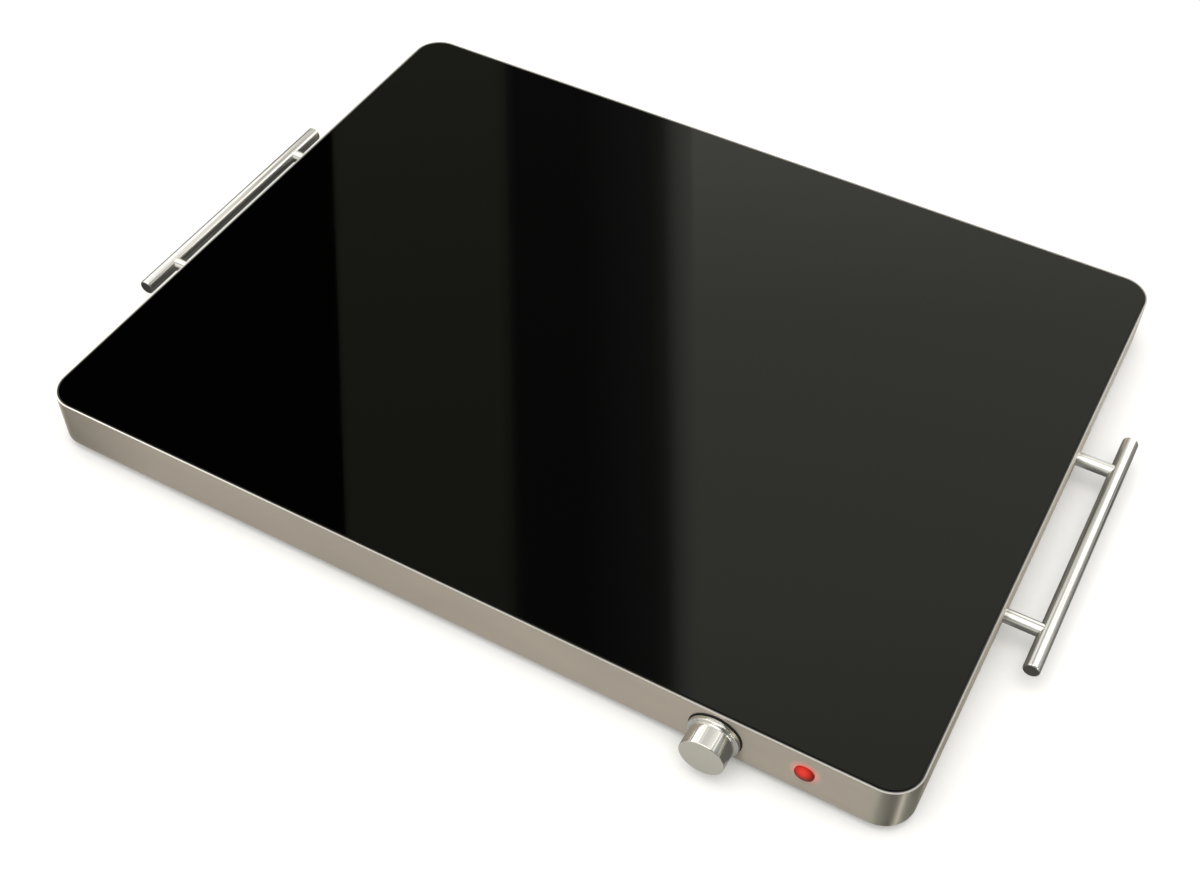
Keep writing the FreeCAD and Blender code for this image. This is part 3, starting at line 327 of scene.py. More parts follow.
def on_fold(point):
    # Whether a point lies on the lower outer edge, on its straight stretches or round its corners.
    side = half_width - abs(point.x)
    end = half_depth - abs(point.y - centre_y)
    within = math.hypot(corner_radius - side, corner_radius - end) if side + end < corner_radius else 0
    outer = min(side, end) < touch or abs(within - corner_radius) < round_touch
    return outer and point.z < casing_low.z + touch


pick_edges(casing, on_fold)
bpy.ops.mesh.bevel(offset=fold_radius, offset_type="OFFSET", segments=4, affect="EDGES")
outward(casing)
modify(casing, "SOLIDIFY", thickness=wall_sheet, offset=-1, use_even_offset=True)
ease_edges(casing, sheared_edge, segments=2, degrees=50)

knob_low, knob_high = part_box("control_knob")
knob_x = (knob_low.x + knob_high.x) / 2
knob_z = (knob_low.z + knob_high.z) / 2
lens_low, lens_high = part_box("lamp_lens")
lamp_x = (lens_low.x + lens_high.x) / 2
lamp_z = (lens_low.z + lens_high.z) / 2
inlet_low, inlet_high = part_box("inlet_body")
inlet_x = (inlet_low.x + inlet_high.x) / 2
inlet_z = (inlet_low.z + inlet_high.z) / 2
post_places = []
for side in ("left", "right"):
    for end in ("front", "back"):
        post_low, post_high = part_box("handle_post_" + side + "_" + end)
        wall_x = math.copysign(half_width, post_low.x)
        post_places.append(Vector((wall_x, (post_low.y + post_high.y) / 2, (post_low.z + post_high.z) / 2)))

bush_hole = 0.0047
lamp_hole = 0.005
thermostat_screw_pitch = 0.022
small_screw_hole = 0.0016
handle_screw_hole = 0.0026
inlet_screw_pitch = 0.04
inlet_opening_half_width = 0.0139
inlet_opening_half_height = 0.01
socket_bevel = 0.004
base_screw_hole = 0.0018
base_screw_line = wall_sheet + flange_width / 2
base_screw_spacing = 0.15
drill_length = 0.004
drill_lead = 0.001
front_face = Vector((0, casing_low.y - drill_lead, 0))
drills = [cutting_rod(front_face + Vector((knob_x, 0, knob_z)), (0, 1, 0), bush_hole, drill_length)]
drills.append(cutting_rod(front_face + Vector((lamp_x, 0, lamp_z)), (0, 1, 0), lamp_hole, drill_length))
for side in (-1, 1):
    screw = front_face + Vector((knob_x + side * thermostat_screw_pitch / 2, 0, knob_z))
    drills.append(cutting_rod(screw, (0, 1, 0), small_screw_hole, drill_length))
    screw = Vector((inlet_x + side * inlet_screw_pitch / 2, casing_high.y + drill_lead, inlet_z))
    drills.append(cutting_rod(screw, (0, -1, 0), small_screw_hole, drill_length))
for place in post_places:
    out = math.copysign(1, place.x)
    screw = place + Vector((out * drill_lead, 0, 0))
    drills.append(cutting_rod(screw, (-out, 0, 0), handle_screw_hole, drill_length))
for step in (-1, 0, 1):
    for flange_y in (casing_low.y + base_screw_line, casing_high.y - base_screw_line):
        screw = Vector((step * base_screw_spacing, flange_y, casing_low.z - drill_lead))
        drills.append(cutting_rod(screw, (0, 0, 1), base_screw_hole, drill_length))
for step in (-1, 1):
    for flange_x in (base_screw_line - half_width, half_width - base_screw_line):
        screw = Vector((flange_x, centre_y + step * base_screw_spacing, casing_low.z - drill_lead))
        drills.append(cutting_rod(screw, (0, 0, 1), base_screw_hole, drill_length))
drills.append(upright_plate("inlet_opening", inlet_opening_half_width, inlet_opening_half_height,
                            socket_bevel, steps=1, all_corners=False,
                            y=casing_high.y - wall_sheet - drill_lead, depth=drill_length))
cut_away(casing, drills)
shade(casing, degrees=40)

casing.data.materials.clear()
casing.data.materials.append(stainless)
casing.data.materials.append(shaded_rim_steel)
for polygon in casing.data.polygons:
    polygon.material_index = int(polygon.center.z > casing_high.z - rim_depth)
# Painted light: the steel itself glows red round the lamp, fading out at the glow's reach.
steel_surface = stainless.node_tree.nodes["Principled BSDF"]
steel_surface.inputs["Emission Color"].default_value = (*painted_glow_colour, 1)
painted_lamp_glow = lit_place(stainless, (lamp_x, casing_low.y, lamp_z), painted_glow_reach)
vary(stainless, painted_lamp_glow, steel_surface.inputs["Emission Strength"], 0.0, painted_glow_strength,
     start=0.0, end=0.6)
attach(casing, "tray")
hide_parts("casing")

# Glass top
# A plate of black tempered glass, 4 mm thick, let into the casing with its upper edge ground round.
# It lies on a silicone seal, whose edge shows as a thin black line inside the rim.
glass_low, glass_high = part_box("glass_top")
glass_inset = half_width - glass_high.x
ground_edge = 0.0003
glass_index = 1.5
glass_colour = (0.0007, 0.0007, 0.0007)
seal_colour = (0.012, 0.012, 0.011)

black_glass, glass_surface = new_finish("black_glass", glass_colour, metallic=0.0, roughness=0.035)
glass_surface.inputs["IOR"].default_value = glass_index
haze = pattern(black_glass, "ShaderNodeTexNoise", (14, 14, 14), Detail=5.0, Roughness=0.6)
vary(black_glass, haze, glass_surface.inputs["Roughness"], 0.02, 0.05)

glass = rounded_sheet("glass_plate", glass_high.x, (glass_high.y - glass_low.y) / 2,
                      corner_radius - glass_inset, glass_low.z, corner_steps)
raise_selection((0, 0, glass_high.z - glass_low.z))
pick_edges(glass, lambda point: point.z > glass_high.z - touch)
bpy.ops.mesh.bevel(offset=ground_edge, offset_type="OFFSET", segments=5, affect="EDGES")
pick_edges(glass, lambda point: point.z < glass_low.z + touch)
bpy.ops.mesh.bevel(offset=ground_edge / 2, offset_type="OFFSET", segments=2, affect="EDGES")
outward(glass)
shade(glass, degrees=40)
glass.data.materials.append(black_glass)
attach(glass, "tray")
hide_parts("glass_top")

seal_rubber, seal_surface = new_finish("seal", seal_colour, metallic=0.0, roughness=0.62)
seal_grain = pattern(seal_rubber, "ShaderNodeTexNoise", (900, 900, 900), Detail=3.0)
vary(seal_rubber, seal_grain, seal_surface.inputs["Roughness"], 0.52, 0.72)
relief(seal_rubber, seal_grain, seal_surface, height=0.00003)
dress(seal_rubber, "glass_seal")

# Base plate, glass frame and brackets
# Zinc-plated steel sheet: the base plate with its two rows of air slots, the angle that carries the glass,
# the bent strips across the tray, and the thermostat's bracket.
zinc_colour = (0.46, 0.47, 0.46)


def plated_steel(name, colour, spangle, roughness):
    # Zinc on steel, with this many crystals per metre and a finer grain over them.
    finish, surface = new_finish(name, colour, 1.0, roughness)
    crystals = pattern(finish, "ShaderNodeTexVoronoi", (spangle, spangle, spangle))
    grain = pattern(finish, "ShaderNodeTexNoise", (spangle * 5, spangle * 5, spangle * 5), Detail=4.0)
    tint(finish, crystals, surface, shaded(colour, 0.86), shaded(colour, 1.1), start=0.1, end=0.9)
    vary(finish, grain, surface.inputs["Roughness"], roughness - 0.08, roughness + 0.08)
    relief(finish, grain, surface, height=0.000006)
    return finish


plated_sheet = plated_steel("plated_sheet", zinc_colour, spangle=160, roughness=0.42)
dress(plated_sheet, "base_plate", "glass_frame", "brace_left", "brace_middle", "brace_right",
      "thermostat_bracket", "mat_tray")

# Feet
# Four moulded rubber feet, wider at the top, each with a screw in a recess from below.
# Their lower edge is rounded and a little scuffed.
foot_names = ("foot_front_left", "foot_front_right", "foot_back_left", "foot_back_right")
foot_top_radius = 0.011
foot_bottom_radius = 0.0095
foot_recess_radius = 0.0052
foot_recess_depth = 0.0028
foot_bore = 0.00185
foot_edge = 0.0005
foot_steps = 48
rubber_colour = (0.022, 0.021, 0.02)


def turned(name, profile, place, axis, steps):
    # A turned piece: half its section is drawn from one point by extruding, then spun about the axis.
    direction = Vector(axis).normalized()
    across = direction.orthogonal().normalized()
    points = [Vector(place) + across * radius + direction * along for radius, along in profile]
    bpy.ops.object.select_all(action="DESELECT")
    bpy.ops.mesh.primitive_plane_add(size=0.001, location=points[0])
    piece = bpy.context.object
    piece.name = name
    bpy.ops.object.transform_apply(location=True, rotation=True, scale=True)
    bpy.ops.object.mode_set(mode="EDIT")
    bpy.ops.mesh.select_all(action="SELECT")
    bpy.ops.mesh.merge(type="CENTER")
    for start, end in zip(points, points[1:]):
        bpy.ops.mesh.extrude_vertices_move(TRANSFORM_OT_translate={"value": end - start})
    bpy.ops.mesh.select_all(action="SELECT")
    bpy.ops.mesh.spin(steps=steps, angle=2 * math.pi, center=Vector(place), axis=direction)
    return outward(piece)


rubber, rubber_surface = new_finish("foot_rubber", rubber_colour, metallic=0.0, roughness=0.75)
rubber_grain = pattern(rubber, "ShaderNodeTexNoise", (700, 700, 700), Detail=5.0, Roughness=0.7)
vary(rubber, rubber_grain, rubber_surface.inputs["Roughness"], 0.62, 0.88)
tint(rubber, rubber_grain, rubber_surface, shaded(rubber_colour, 0.8), shaded(rubber_colour, 1.5))
relief(rubber, rubber_grain, rubber_surface, height=0.00004)

for foot_name in foot_names:
    foot_low, foot_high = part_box(foot_name)
    foot_profile = [(foot_recess_radius, 0), (foot_bottom_radius, 0), (foot_top_radius, foot_high.z)]
    foot_profile += [(foot_bore, foot_high.z), (foot_bore, foot_recess_depth)]
    foot_profile += [(foot_recess_radius, foot_recess_depth), (foot_recess_radius, 0)]
    foot_place = ((foot_low.x + foot_high.x) / 2, (foot_low.y + foot_high.y) / 2, 0)
    foot = turned("moulded_" + foot_name, foot_profile, foot_place, (0, 0, 1), foot_steps)
    ease_edges(foot, foot_edge, segments=3)
    shade(foot)
    foot.data.materials.append(rubber)
    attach(foot, "tray")
    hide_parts(foot_name)

# Screws, washers and nuts
# Plated steel pan heads with a cross recess, the long handle screws and their washers, and the inlet's nuts.
# They show under the base plate and on the inlet.
screw_colour = (0.52, 0.52, 0.5)

screw_steel = plated_steel("screw_steel", screw_colour, spangle=900, roughness=0.3)
dress(screw_steel, "foot_screws", "base_screws", "handle_screws", "handle_washers", "thermostat_screws",
      "inlet_screws", "inlet_nuts", "terminal_screws", "earth_screw", "spreader_clips", "lamp_nut")

# Handles
# A round stainless bar on each short side, with a small chamfer at its ends, on two posts shaped to the bar.
# Long screws from inside the casing hold them. The brushing runs along each bar and post.
bar_chamfer = 0.0007
bar_edge = 0.0002
bar_steps = 64
end_facing = 0.95
post_radius = 0.005
post_edge = 0.00015
post_steps = 48
handle_colour = (0.79, 0.775, 0.72)
shaded_end_colour = (0.34, 0.33, 0.29)

bar_steel = brushed_steel("bar_steel", handle_colour, marks=(2200, 7, 2200), roughness=0.3, spread=0.07,
                          depth=0.000005, tones=(600, 5, 600), contrast=0.6)
post_steel = brushed_steel("post_steel", handle_colour, marks=(9, 2200, 2200), roughness=0.3, spread=0.07,
                           depth=0.000005, tones=(9, 600, 600), contrast=0.5)
# Partly real and partly painted shade: the cut end faces have their own rougher finish, and a colour much
# darker than the bar's that stands in for shade on them.
shaded_cut_end = brushed_steel("shaded_cut_end", shaded_end_colour, marks=(1500, 400, 1500), roughness=0.45, spread=0.08,
                        depth=0.000005)

for side in ("left", "right"):
    bar_low, bar_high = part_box("handle_bar_" + side)
    bar_radius = (bar_high.z - bar_low.z) / 2
    bar_length = bar_high.y - bar_low.y
    bar_start = Vector(((bar_low.x + bar_high.x) / 2, bar_low.y, (bar_low.z + bar_high.z) / 2))
    bar_profile = [(0, 0), (bar_radius - bar_chamfer, 0), (bar_radius, bar_chamfer)]
    bar_profile += [(bar_radius, bar_length - bar_chamfer), (bar_radius - bar_chamfer, bar_length)]
    bar_profile.append((0, bar_length))
    bar = turned("round_bar_" + side, bar_profile, bar_start, (0, 1, 0), bar_steps)
    ease_edges(bar, bar_edge, segments=2, degrees=25)
    shade(bar)
    bar.data.materials.append(bar_steel)
    bar.data.materials.append(shaded_cut_end)
    for polygon in bar.data.polygons:
        polygon.material_index = int(abs(polygon.normal.y) > end_facing)
    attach(bar, "tray")
    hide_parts("handle_bar_" + side)
    for place in post_places:
        if place.x * bar_start.x < 0:
            continue
        out = math.copysign(1, place.x)
        reach = abs(bar_start.x - place.x)
        post_profile = [(0, 0), (post_radius, 0), (post_radius, reach), (0, reach)]
        end = "front" if place.y < centre_y else "back"
        post = turned("round_post_" + side + "_" + end, post_profile, place, (out, 0, 0), post_steps)
        saddle = cutting_rod(bar_start, (0, 1, 0), bar_radius, bar_length)
        cut_away(post, [saddle])
        ease_edges(post, post_edge, segments=2, degrees=50)
        shade(post)
        post.data.materials.clear()
        post.data.materials.append(post_steel)
        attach(post, "tray")
        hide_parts("handle_post_" + side + "_" + end)

# Knob
# Turned from metal: a flat satin face, a polished side, finely drawn along its length, and a wider foot.
# It is pushed on a moulded hub on the thermostat's spindle, and stands 1 mm off the casing.
knob_length = knob_high.y - knob_low.y
knob_foot_radius = (knob_high.x - knob_low.x) / 2
knob_radius = 0.0152
knob_foot_height = 0.0034
knob_edge = 0.0006
knob_hollow_radius = 0.0142
knob_hollow_depth = 0.003
knob_steps = 96
knob_colour = (0.8, 0.785, 0.745)
face_colour = (0.85, 0.825, 0.735)

knob_side, knob_surface = new_finish("knob_side", knob_colour, metallic=1.0, roughness=0.16)
drawn = pattern(knob_side, "ShaderNodeTexNoise", (420, 6, 420), Detail=3.0, Roughness=0.6)
vary(knob_side, drawn, knob_surface.inputs["Roughness"], 0.1, 0.22)
relief(knob_side, drawn, knob_surface, height=0.0003)
knob_face, face_surface = new_finish("knob_face", face_colour, metallic=1.0, roughness=0.42)
face_grain = pattern(knob_face, "ShaderNodeTexNoise", (60, 2400, 2400), Detail=3.0, Roughness=0.7)
vary(knob_face, face_grain, face_surface.inputs["Roughness"], 0.36, 0.5)
relief(knob_face, face_grain, face_surface, height=0.000004)

knob_profile = [(0, knob_hollow_depth), (knob_hollow_radius, knob_hollow_depth), (knob_hollow_radius, 0)]
knob_profile += [(knob_foot_radius, 0), (knob_foot_radius, knob_foot_height), (knob_radius, knob_foot_height)]
knob_profile += [(knob_radius, knob_length), (0, knob_length)]
knob = turned("turned_knob", knob_profile, (knob_x, knob_high.y, knob_z), (0, -1, 0), knob_steps)
ease_edges(knob, knob_edge, segments=3)
shade(knob)
knob.data.materials.append(knob_side)
knob.data.materials.append(knob_face)
for polygon in knob.data.polygons:
    polygon.material_index = int(polygon.center.y < knob_low.y + touch)
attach(knob, "knob")
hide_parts("control_knob")

# Knob seal
# A flat ring of black silicone on the casing behind the knob, a little wider than the knob's foot.
# It closes the gap, and shows as a thin dark line round the foot: partly the black seal, partly painted shade
# for the gap behind the knob.
seal_low, seal_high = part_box("knob_seal")
seal_showing_as_shade = 0.0007
knob_seal_radius = knob_foot_radius + seal_showing_as_shade
knob_seal_bore = 0.0146
knob_seal_sheet = seal_high.y - seal_low.y
knob_seal_edge = 0.00015
seal_profile = [(knob_seal_bore, 0), (knob_seal_radius, 0), (knob_seal_radius, knob_seal_sheet)]
seal_profile += [(knob_seal_bore, knob_seal_sheet), (knob_seal_bore, 0)]
knob_ring = turned("silicone_ring", seal_profile, (knob_x, seal_high.y, knob_z), (0, -1, 0), knob_steps)
ease_edges(knob_ring, knob_seal_edge, segments=2)
shade(knob_ring)
knob_ring.data.materials.append(seal_rubber)
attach(knob_ring, "tray")
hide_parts("knob_seal")

# Pilot lamp
# A domed lens of clear red plastic, lit from behind by a neon lamp, in a nylon holder inside the wall.
# The red light on the steel around it is painted: a glow in the steel's own emission.
lens_radius = (lens_high.x - lens_low.x) / 2
lens_dome = 0.0013
lens_gap = 0.0001
lens_back = casing_low.y - lens_gap
lens_stem_radius = 0.0049
lens_stem_bore = 0.0039
lens_hollow = 0.0009
lens_edge = 0.0004
lens_steps = 64
dome_steps = 8
lens_colour = (0.44, 0.006, 0.005)
# Painted shade: the lens's base colour darkens to this towards its edge.
lens_painted_shade_colour = (0.12, 0.003, 0.002)
lens_light = (1.0, 0.14, 0.08)
lens_gloss = 0.12
lens_glow_reach = 0.0075
lens_glow_rise = 0.0036
lens_glow_to_left = 0.0008
lens_glow_least = 0.02
lens_glow_most = 0.34

red_lens, lens_surface = new_finish("red_lens", lens_colour, metallic=0.0, roughness=0.12)
lens_surface.inputs["Emission Color"].default_value = (*lens_light, 1)
lens_surface.inputs["Specular IOR Level"].default_value = lens_gloss
glow_place = (lamp_x - lens_glow_to_left, lens_low.y, lamp_z + lens_glow_rise)
lens_glow = lit_place(red_lens, glow_place, lens_glow_reach)
vary(red_lens, lens_glow, lens_surface.inputs["Emission Strength"], lens_glow_least, lens_glow_most,
     start=0.1, end=1.0)
# Painted shade: the lens's base colour darkens towards its edge, away from the glow's hot spot.
tint(red_lens, lens_glow, lens_surface, lens_painted_shade_colour, lens_colour, start=0.0, end=0.6)
ripple = pattern(red_lens, "ShaderNodeTexNoise", (260, 260, 260), Detail=2.0)
vary(red_lens, ripple, lens_surface.inputs["Roughness"], 0.08, 0.2)
relief(red_lens, ripple, lens_surface, height=0.00004)

lens_proud = lens_back - lens_low.y
sphere_radius = (lens_radius ** 2 + lens_dome ** 2) / (2 * lens_dome)
stem_length = lens_high.y - lens_back
lens_profile = [(0, lens_hollow), (lens_stem_bore, lens_hollow), (lens_stem_bore, -stem_length)]
lens_profile += [(lens_stem_radius, -stem_length), (lens_stem_radius, 0), (lens_radius, 0)]
for step in range(dome_steps, -1, -1):
    angle = math.asin(lens_radius / sphere_radius) * step / dome_steps
    drop = sphere_radius * (1 - math.cos(angle))
    lens_profile.append((sphere_radius * math.sin(angle), lens_proud - drop))
lens = turned("domed_lens", lens_profile, (lamp_x, lens_back, lamp_z), (0, -1, 0), lens_steps)
ease_edges(lens, lens_edge, segments=3)
shade(lens)
lens.data.materials.append(red_lens)
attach(lens, "tray")
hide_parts("lamp_lens")


def moulded_plastic(name, colour, roughness, grain=1400):
    # Plastic or glaze with a fine grain, of this many marks per metre.
    finish, surface = new_finish(name, colour, 0.0, roughness)
    texture = pattern(finish, "ShaderNodeTexNoise", (grain, grain, grain), Detail=3.0)
    vary(finish, texture, surface.inputs["Roughness"], roughness - 0.06, roughness + 0.08)
    tint(finish, texture, surface, shaded(colour, 0.93), shaded(colour, 1.07))
    relief(finish, texture, surface, height=0.00002)
    return finish


nylon_colour = (0.62, 0.6, 0.53)
neon_colour = (0.8, 0.28, 0.12)
neon_bright_colour = (0.95, 0.45, 0.25)
neon_light = (1.0, 0.2, 0.06)
neon_strength = 1.5

nylon = moulded_plastic("nylon", nylon_colour, roughness=0.5)
dress(nylon, "lamp_body", "terminal_block", "cable_clips")
neon_glass, neon_surface = new_finish("neon_glass", neon_colour, metallic=0.0, roughness=0.08)
neon_surface.inputs["Emission Color"].default_value = (*neon_light, 1)
neon_surface.inputs["Emission Strength"].default_value = neon_strength
neon_glow = pattern(neon_glass, "ShaderNodeTexNoise", (400, 400, 400), Detail=2.0)
tint(neon_glass, neon_glow, neon_surface, neon_colour, neon_bright_colour)
dress(neon_glass, "neon_lamp")

# Mains inlet
# A moulded black appliance inlet, let into the back wall with its flange outside, on two sunk screws.
# Three brass pins stand in its socket, whose two upper corners are cut off.
inlet_flange = 0.0025
inlet_corner = 0.003
inlet_edge = 0.0006
socket_half_width = 0.012
socket_half_height = 0.0081
socket_depth = 0.019
shell_wall = 0.0018
inlet_screw_head = 0.0028
inlet_head_depth = 0.0016
black_plastic_colour = (0.014, 0.014, 0.015)

black_plastic = moulded_plastic("black_plastic", black_plastic_colour, roughness=0.42)
dress(black_plastic, "knob_hub", "thermostat_body")

inlet = upright_plate("moulded_inlet", (inlet_high.x - inlet_low.x) / 2, (inlet_high.z - inlet_low.z) / 2,
                      inlet_corner, steps=6, all_corners=True, y=casing_high.y, depth=inlet_flange)
ease_edges(inlet, inlet_edge, segments=3)
shell = upright_plate("socket_shell", socket_half_width + shell_wall, socket_half_height + shell_wall,
                      socket_bevel, steps=1, all_corners=False, y=inlet_low.y,
                      depth=casing_high.y - inlet_low.y + drill_lead)
modify(inlet, "BOOLEAN", operation="UNION", solver="EXACT", object=shell)
bpy.data.objects.remove(shell)
socket = upright_plate("socket_room", socket_half_width, socket_half_height, socket_bevel, steps=1,
                       all_corners=False, y=inlet_high.y - socket_depth, depth=socket_depth + drill_lead)
inlet_cutters = [socket]
for side in (-1, 1):
    screw = Vector((inlet_x + side * inlet_screw_pitch / 2, casing_high.y - drill_lead, inlet_z))
    inlet_cutters.append(cutting_rod(screw, (0, 1, 0), small_screw_hole, inlet_flange + 2 * drill_lead))
for side in (-1, 1):
    head = Vector((inlet_x + side * inlet_screw_pitch / 2, inlet_high.y - inlet_head_depth, inlet_z))
    inlet_cutters.append(cutting_rod(head, (0, 1, 0), inlet_screw_head, inlet_flange))
for cutter in inlet_cutters:
    cut_away(inlet, [cutter])
shade(inlet)
inlet.data.materials.clear()
inlet.data.materials.append(black_plastic)
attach(inlet, "tray")
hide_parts("inlet_body")

# Brass, copper and spring parts
# The inlet's pins, the thermostat's spindle, bush, blades and leaf, and the copper sensor with its fine tube.
# Turned or stamped, and left bare.
brass_colour = (0.72, 0.5, 0.2)
copper_colour = (0.73, 0.35, 0.2)

brass = brushed_steel("brass", brass_colour, marks=(500, 500, 500), roughness=0.3, spread=0.08,
                      depth=0.000004)
dress(brass, "inlet_pins", "spindle_bush", "thermostat_spindle", "thermostat_terminals", "switch_leaf")
copper = brushed_steel("copper", copper_colour, marks=(600, 600, 600), roughness=0.32, spread=0.08,
                       depth=0.000004)
dress(copper, "sensor_bulb", "capillary_tube", "thermostat_diaphragm")

# Heater
# An aluminium plate under the glass spreads the heat of one long braided heating cable.
# A pale fibre mat in a sheet tray keeps the heat off the base.
aluminium_colour = (0.7, 0.71, 0.72)
cable_colour = (0.75, 0.73, 0.68)
mat_colour = (0.8, 0.78, 0.72)
steatite_colour = (0.78, 0.74, 0.66)


def braided(name, colour, pitch):
    # Glass or ceramic fibre, with this many strands per metre.
    finish, surface = new_finish(name, colour, 0.0, 0.8)
    strands = pattern(finish, "ShaderNodeTexVoronoi", (pitch, pitch, pitch))
    tint(finish, strands, surface, shaded(colour, 0.7), shaded(colour, 1.15), start=0.1, end=0.8)
    relief(finish, strands, surface, height=0.0001)
    return finish


aluminium = brushed_steel("aluminium_sheet", aluminium_colour, marks=(8, 900, 900), roughness=0.38,
                          spread=0.08, depth=0.000005)
dress(aluminium, "heat_spreader", "heater_crimps")
dress(braided("cable_braid", cable_colour, pitch=1800), "heating_cable")
dress(braided("fibre_mat", mat_colour, pitch=420), "insulation_mat")
steatite = moulded_plastic("steatite", steatite_colour, roughness=0.55, grain=700)
dress(steatite, "thermostat_plunger", "thermal_fuse")

# Wiring
# Silicone leads between inlet, terminal block, thermostat, lamp and heater, and the green earth lead.
# They are laid in clips along the right of the base plate.
lead_colour = (0.5, 0.07, 0.05)
earth_colour = (0.16, 0.42, 0.08)

silicone_lead = moulded_plastic("silicone_lead", lead_colour, roughness=0.45, grain=500)
dress(silicone_lead, "mains_leads", "heater_leads", "lamp_leads")
dress(moulded_plastic("earth_insulation", earth_colour, roughness=0.45, grain=500), "earth_lead")

# Floor and light
# A plain, nearly white floor in a bright white studio, with a broad soft box overhead.
# The room gives most of the light. The floor gives a little of its own, which lightens the shadows.
floor_half = 6.0
floor_colour = (0.9, 0.9, 0.895)
floor_glow = 0.12
room_colour = (1.0, 0.985, 0.95)
room_light = 0.85
overhead_place = Vector((0.1, -0.5, 2.2))
overhead_size = 2.2
overhead_power = 28
tray_middle = Vector((0, centre_y, casing_high.z))

bpy.ops.object.select_all(action="DESELECT")
bpy.ops.mesh.primitive_plane_add(size=2 * floor_half, location=(0, 0, 0))
floor = bpy.context.object
floor.name = "floor"
floor_paint, floor_surface = new_finish("floor_paint", floor_colour, metallic=0.0, roughness=0.9)
floor_cloud = pattern(floor_paint, "ShaderNodeTexNoise", (3, 3, 3), Detail=2.0)
tint(floor_paint, floor_cloud, floor_surface, shaded(floor_colour, 0.985), shaded(floor_colour, 1.01))
floor_surface.inputs["Emission Color"].default_value = (*room_colour, 1)
floor_surface.inputs["Emission Strength"].default_value = floor_glow
floor.data.materials.append(floor_paint)

# Gloss sees the two skies among the cards instead of this world.
room = bpy.data.worlds.new("room")
room.use_nodes = True
background = room.node_tree.nodes["Background"]
background.inputs["Color"].default_value = (*room_colour, 1)
background.inputs["Strength"].default_value = room_light
room.cycles_visibility.glossy = False
bpy.context.scene.world = room

# One group of receivers is the glass alone, and the other is all but the glass.
for_glass = bpy.data.collections.new("for_glass")
for_glass.objects.link(glass)
for_steel = bpy.data.collections.new("for_steel")
for_steel.objects.link(glass)
for_steel.collection_objects[0].light_linking.link_state = "EXCLUDE"

overhead_aim = (tray_middle - overhead_place).to_track_quat("-Z", "Y").to_euler()
bpy.ops.object.light_add(type="AREA", location=overhead_place, rotation=overhead_aim)
overhead_box = bpy.context.object
overhead_box.name = "overhead_box"
overhead_box.data.size = overhead_size
overhead_box.data.energy = overhead_power
overhead_box.light_linking.receiver_collection = for_steel

# Cards
# Sheets and two skies that show only in reflections. Dim ones make the bands in the glass, for it alone.
# Bright ones shape the steel and the knob, with gels and flags that darken what lies behind them.
picture_width = 1200
picture_height = 869
pixels_per_unit = picture_width * camera_lens / sensor_width
above_picture = -40
below_picture = 900

# Where the edges between the bands in the glass show, along the top of the picture and along its bottom.
left_band_start = (326, 358)
middle_band_start = (504, 521)
bright_edge_start = (645, 658)
bright_band_start = (690, 700)
bright_band_end = (1500, 1500)
back_card_start = (-300, -300)
back_card_end = (1400, 1400)

glass_cards_away = 2.55
steel_card_away = 2.6
steel_sky_radius = 5.6
glass_sky_radius = 5.4
card_foot = 0.01
gel_height = 0.0008
floor_gel_height = 0.0004
wall_card_height = 0.0012
flag_gap = 0.0012
even = [(0.0, 1.0), (1.0, 1.0)]
mirror_place = Vector((camera_place.x, camera_place.y, 2 * glass_high.z - camera_place.z))


def mirrored(direction):
    return Vector((direction.x, direction.y, -direction.z))


def seen_in_glass(across, down, away):
    # Where a point of the picture lies behind the tray, seen in the glass.
    right, up, back = (mirrored(direction) for direction in camera_turn.to_matrix().col)
    to_right = (across - picture_width / 2) / pixels_per_unit
    to_top = (picture_height / 2 - down) / pixels_per_unit
    return mirror_place + (right * to_right + up * to_top - back) * away


def band(start, end, away):
    # The corners of a card whose two edges show at these places along the picture's top and bottom.
    low = [seen_in_glass(edge[1], below_picture, away) for edge in (start, end)]
    return low + [seen_in_glass(edge[0], above_picture, away) for edge in (start, end)]


def upright(start, end, foot, top):
    # The corners of a sheet that stands over a line between two places on the floor.
    return [(*start, foot), (*end, foot), (*start, top), (*end, top)]


def level(low, high, height):
    # The corners of a sheet that lies level.
    return [(*low, height), (high[0], low[1], height), (low[0], high[1], height), (*high, height)]


def around(centre, reach, turn):
    # A place at this reach from the centre of a corner, this many degrees round from the front.
    angle = math.radians(turn)
    return centre[0] + reach * math.sin(angle), centre[1] - reach * math.cos(angle)


def fan(centre, near, far, near_turns, far_turns, height):
    # The corners of a level sheet that lies round a corner, between two turns at each of its ends.
    places = [around(centre, near, turn) for turn in near_turns]
    places += [around(centre, far, turn) for turn in far_turns]
    return [(*place, height) for place in places]


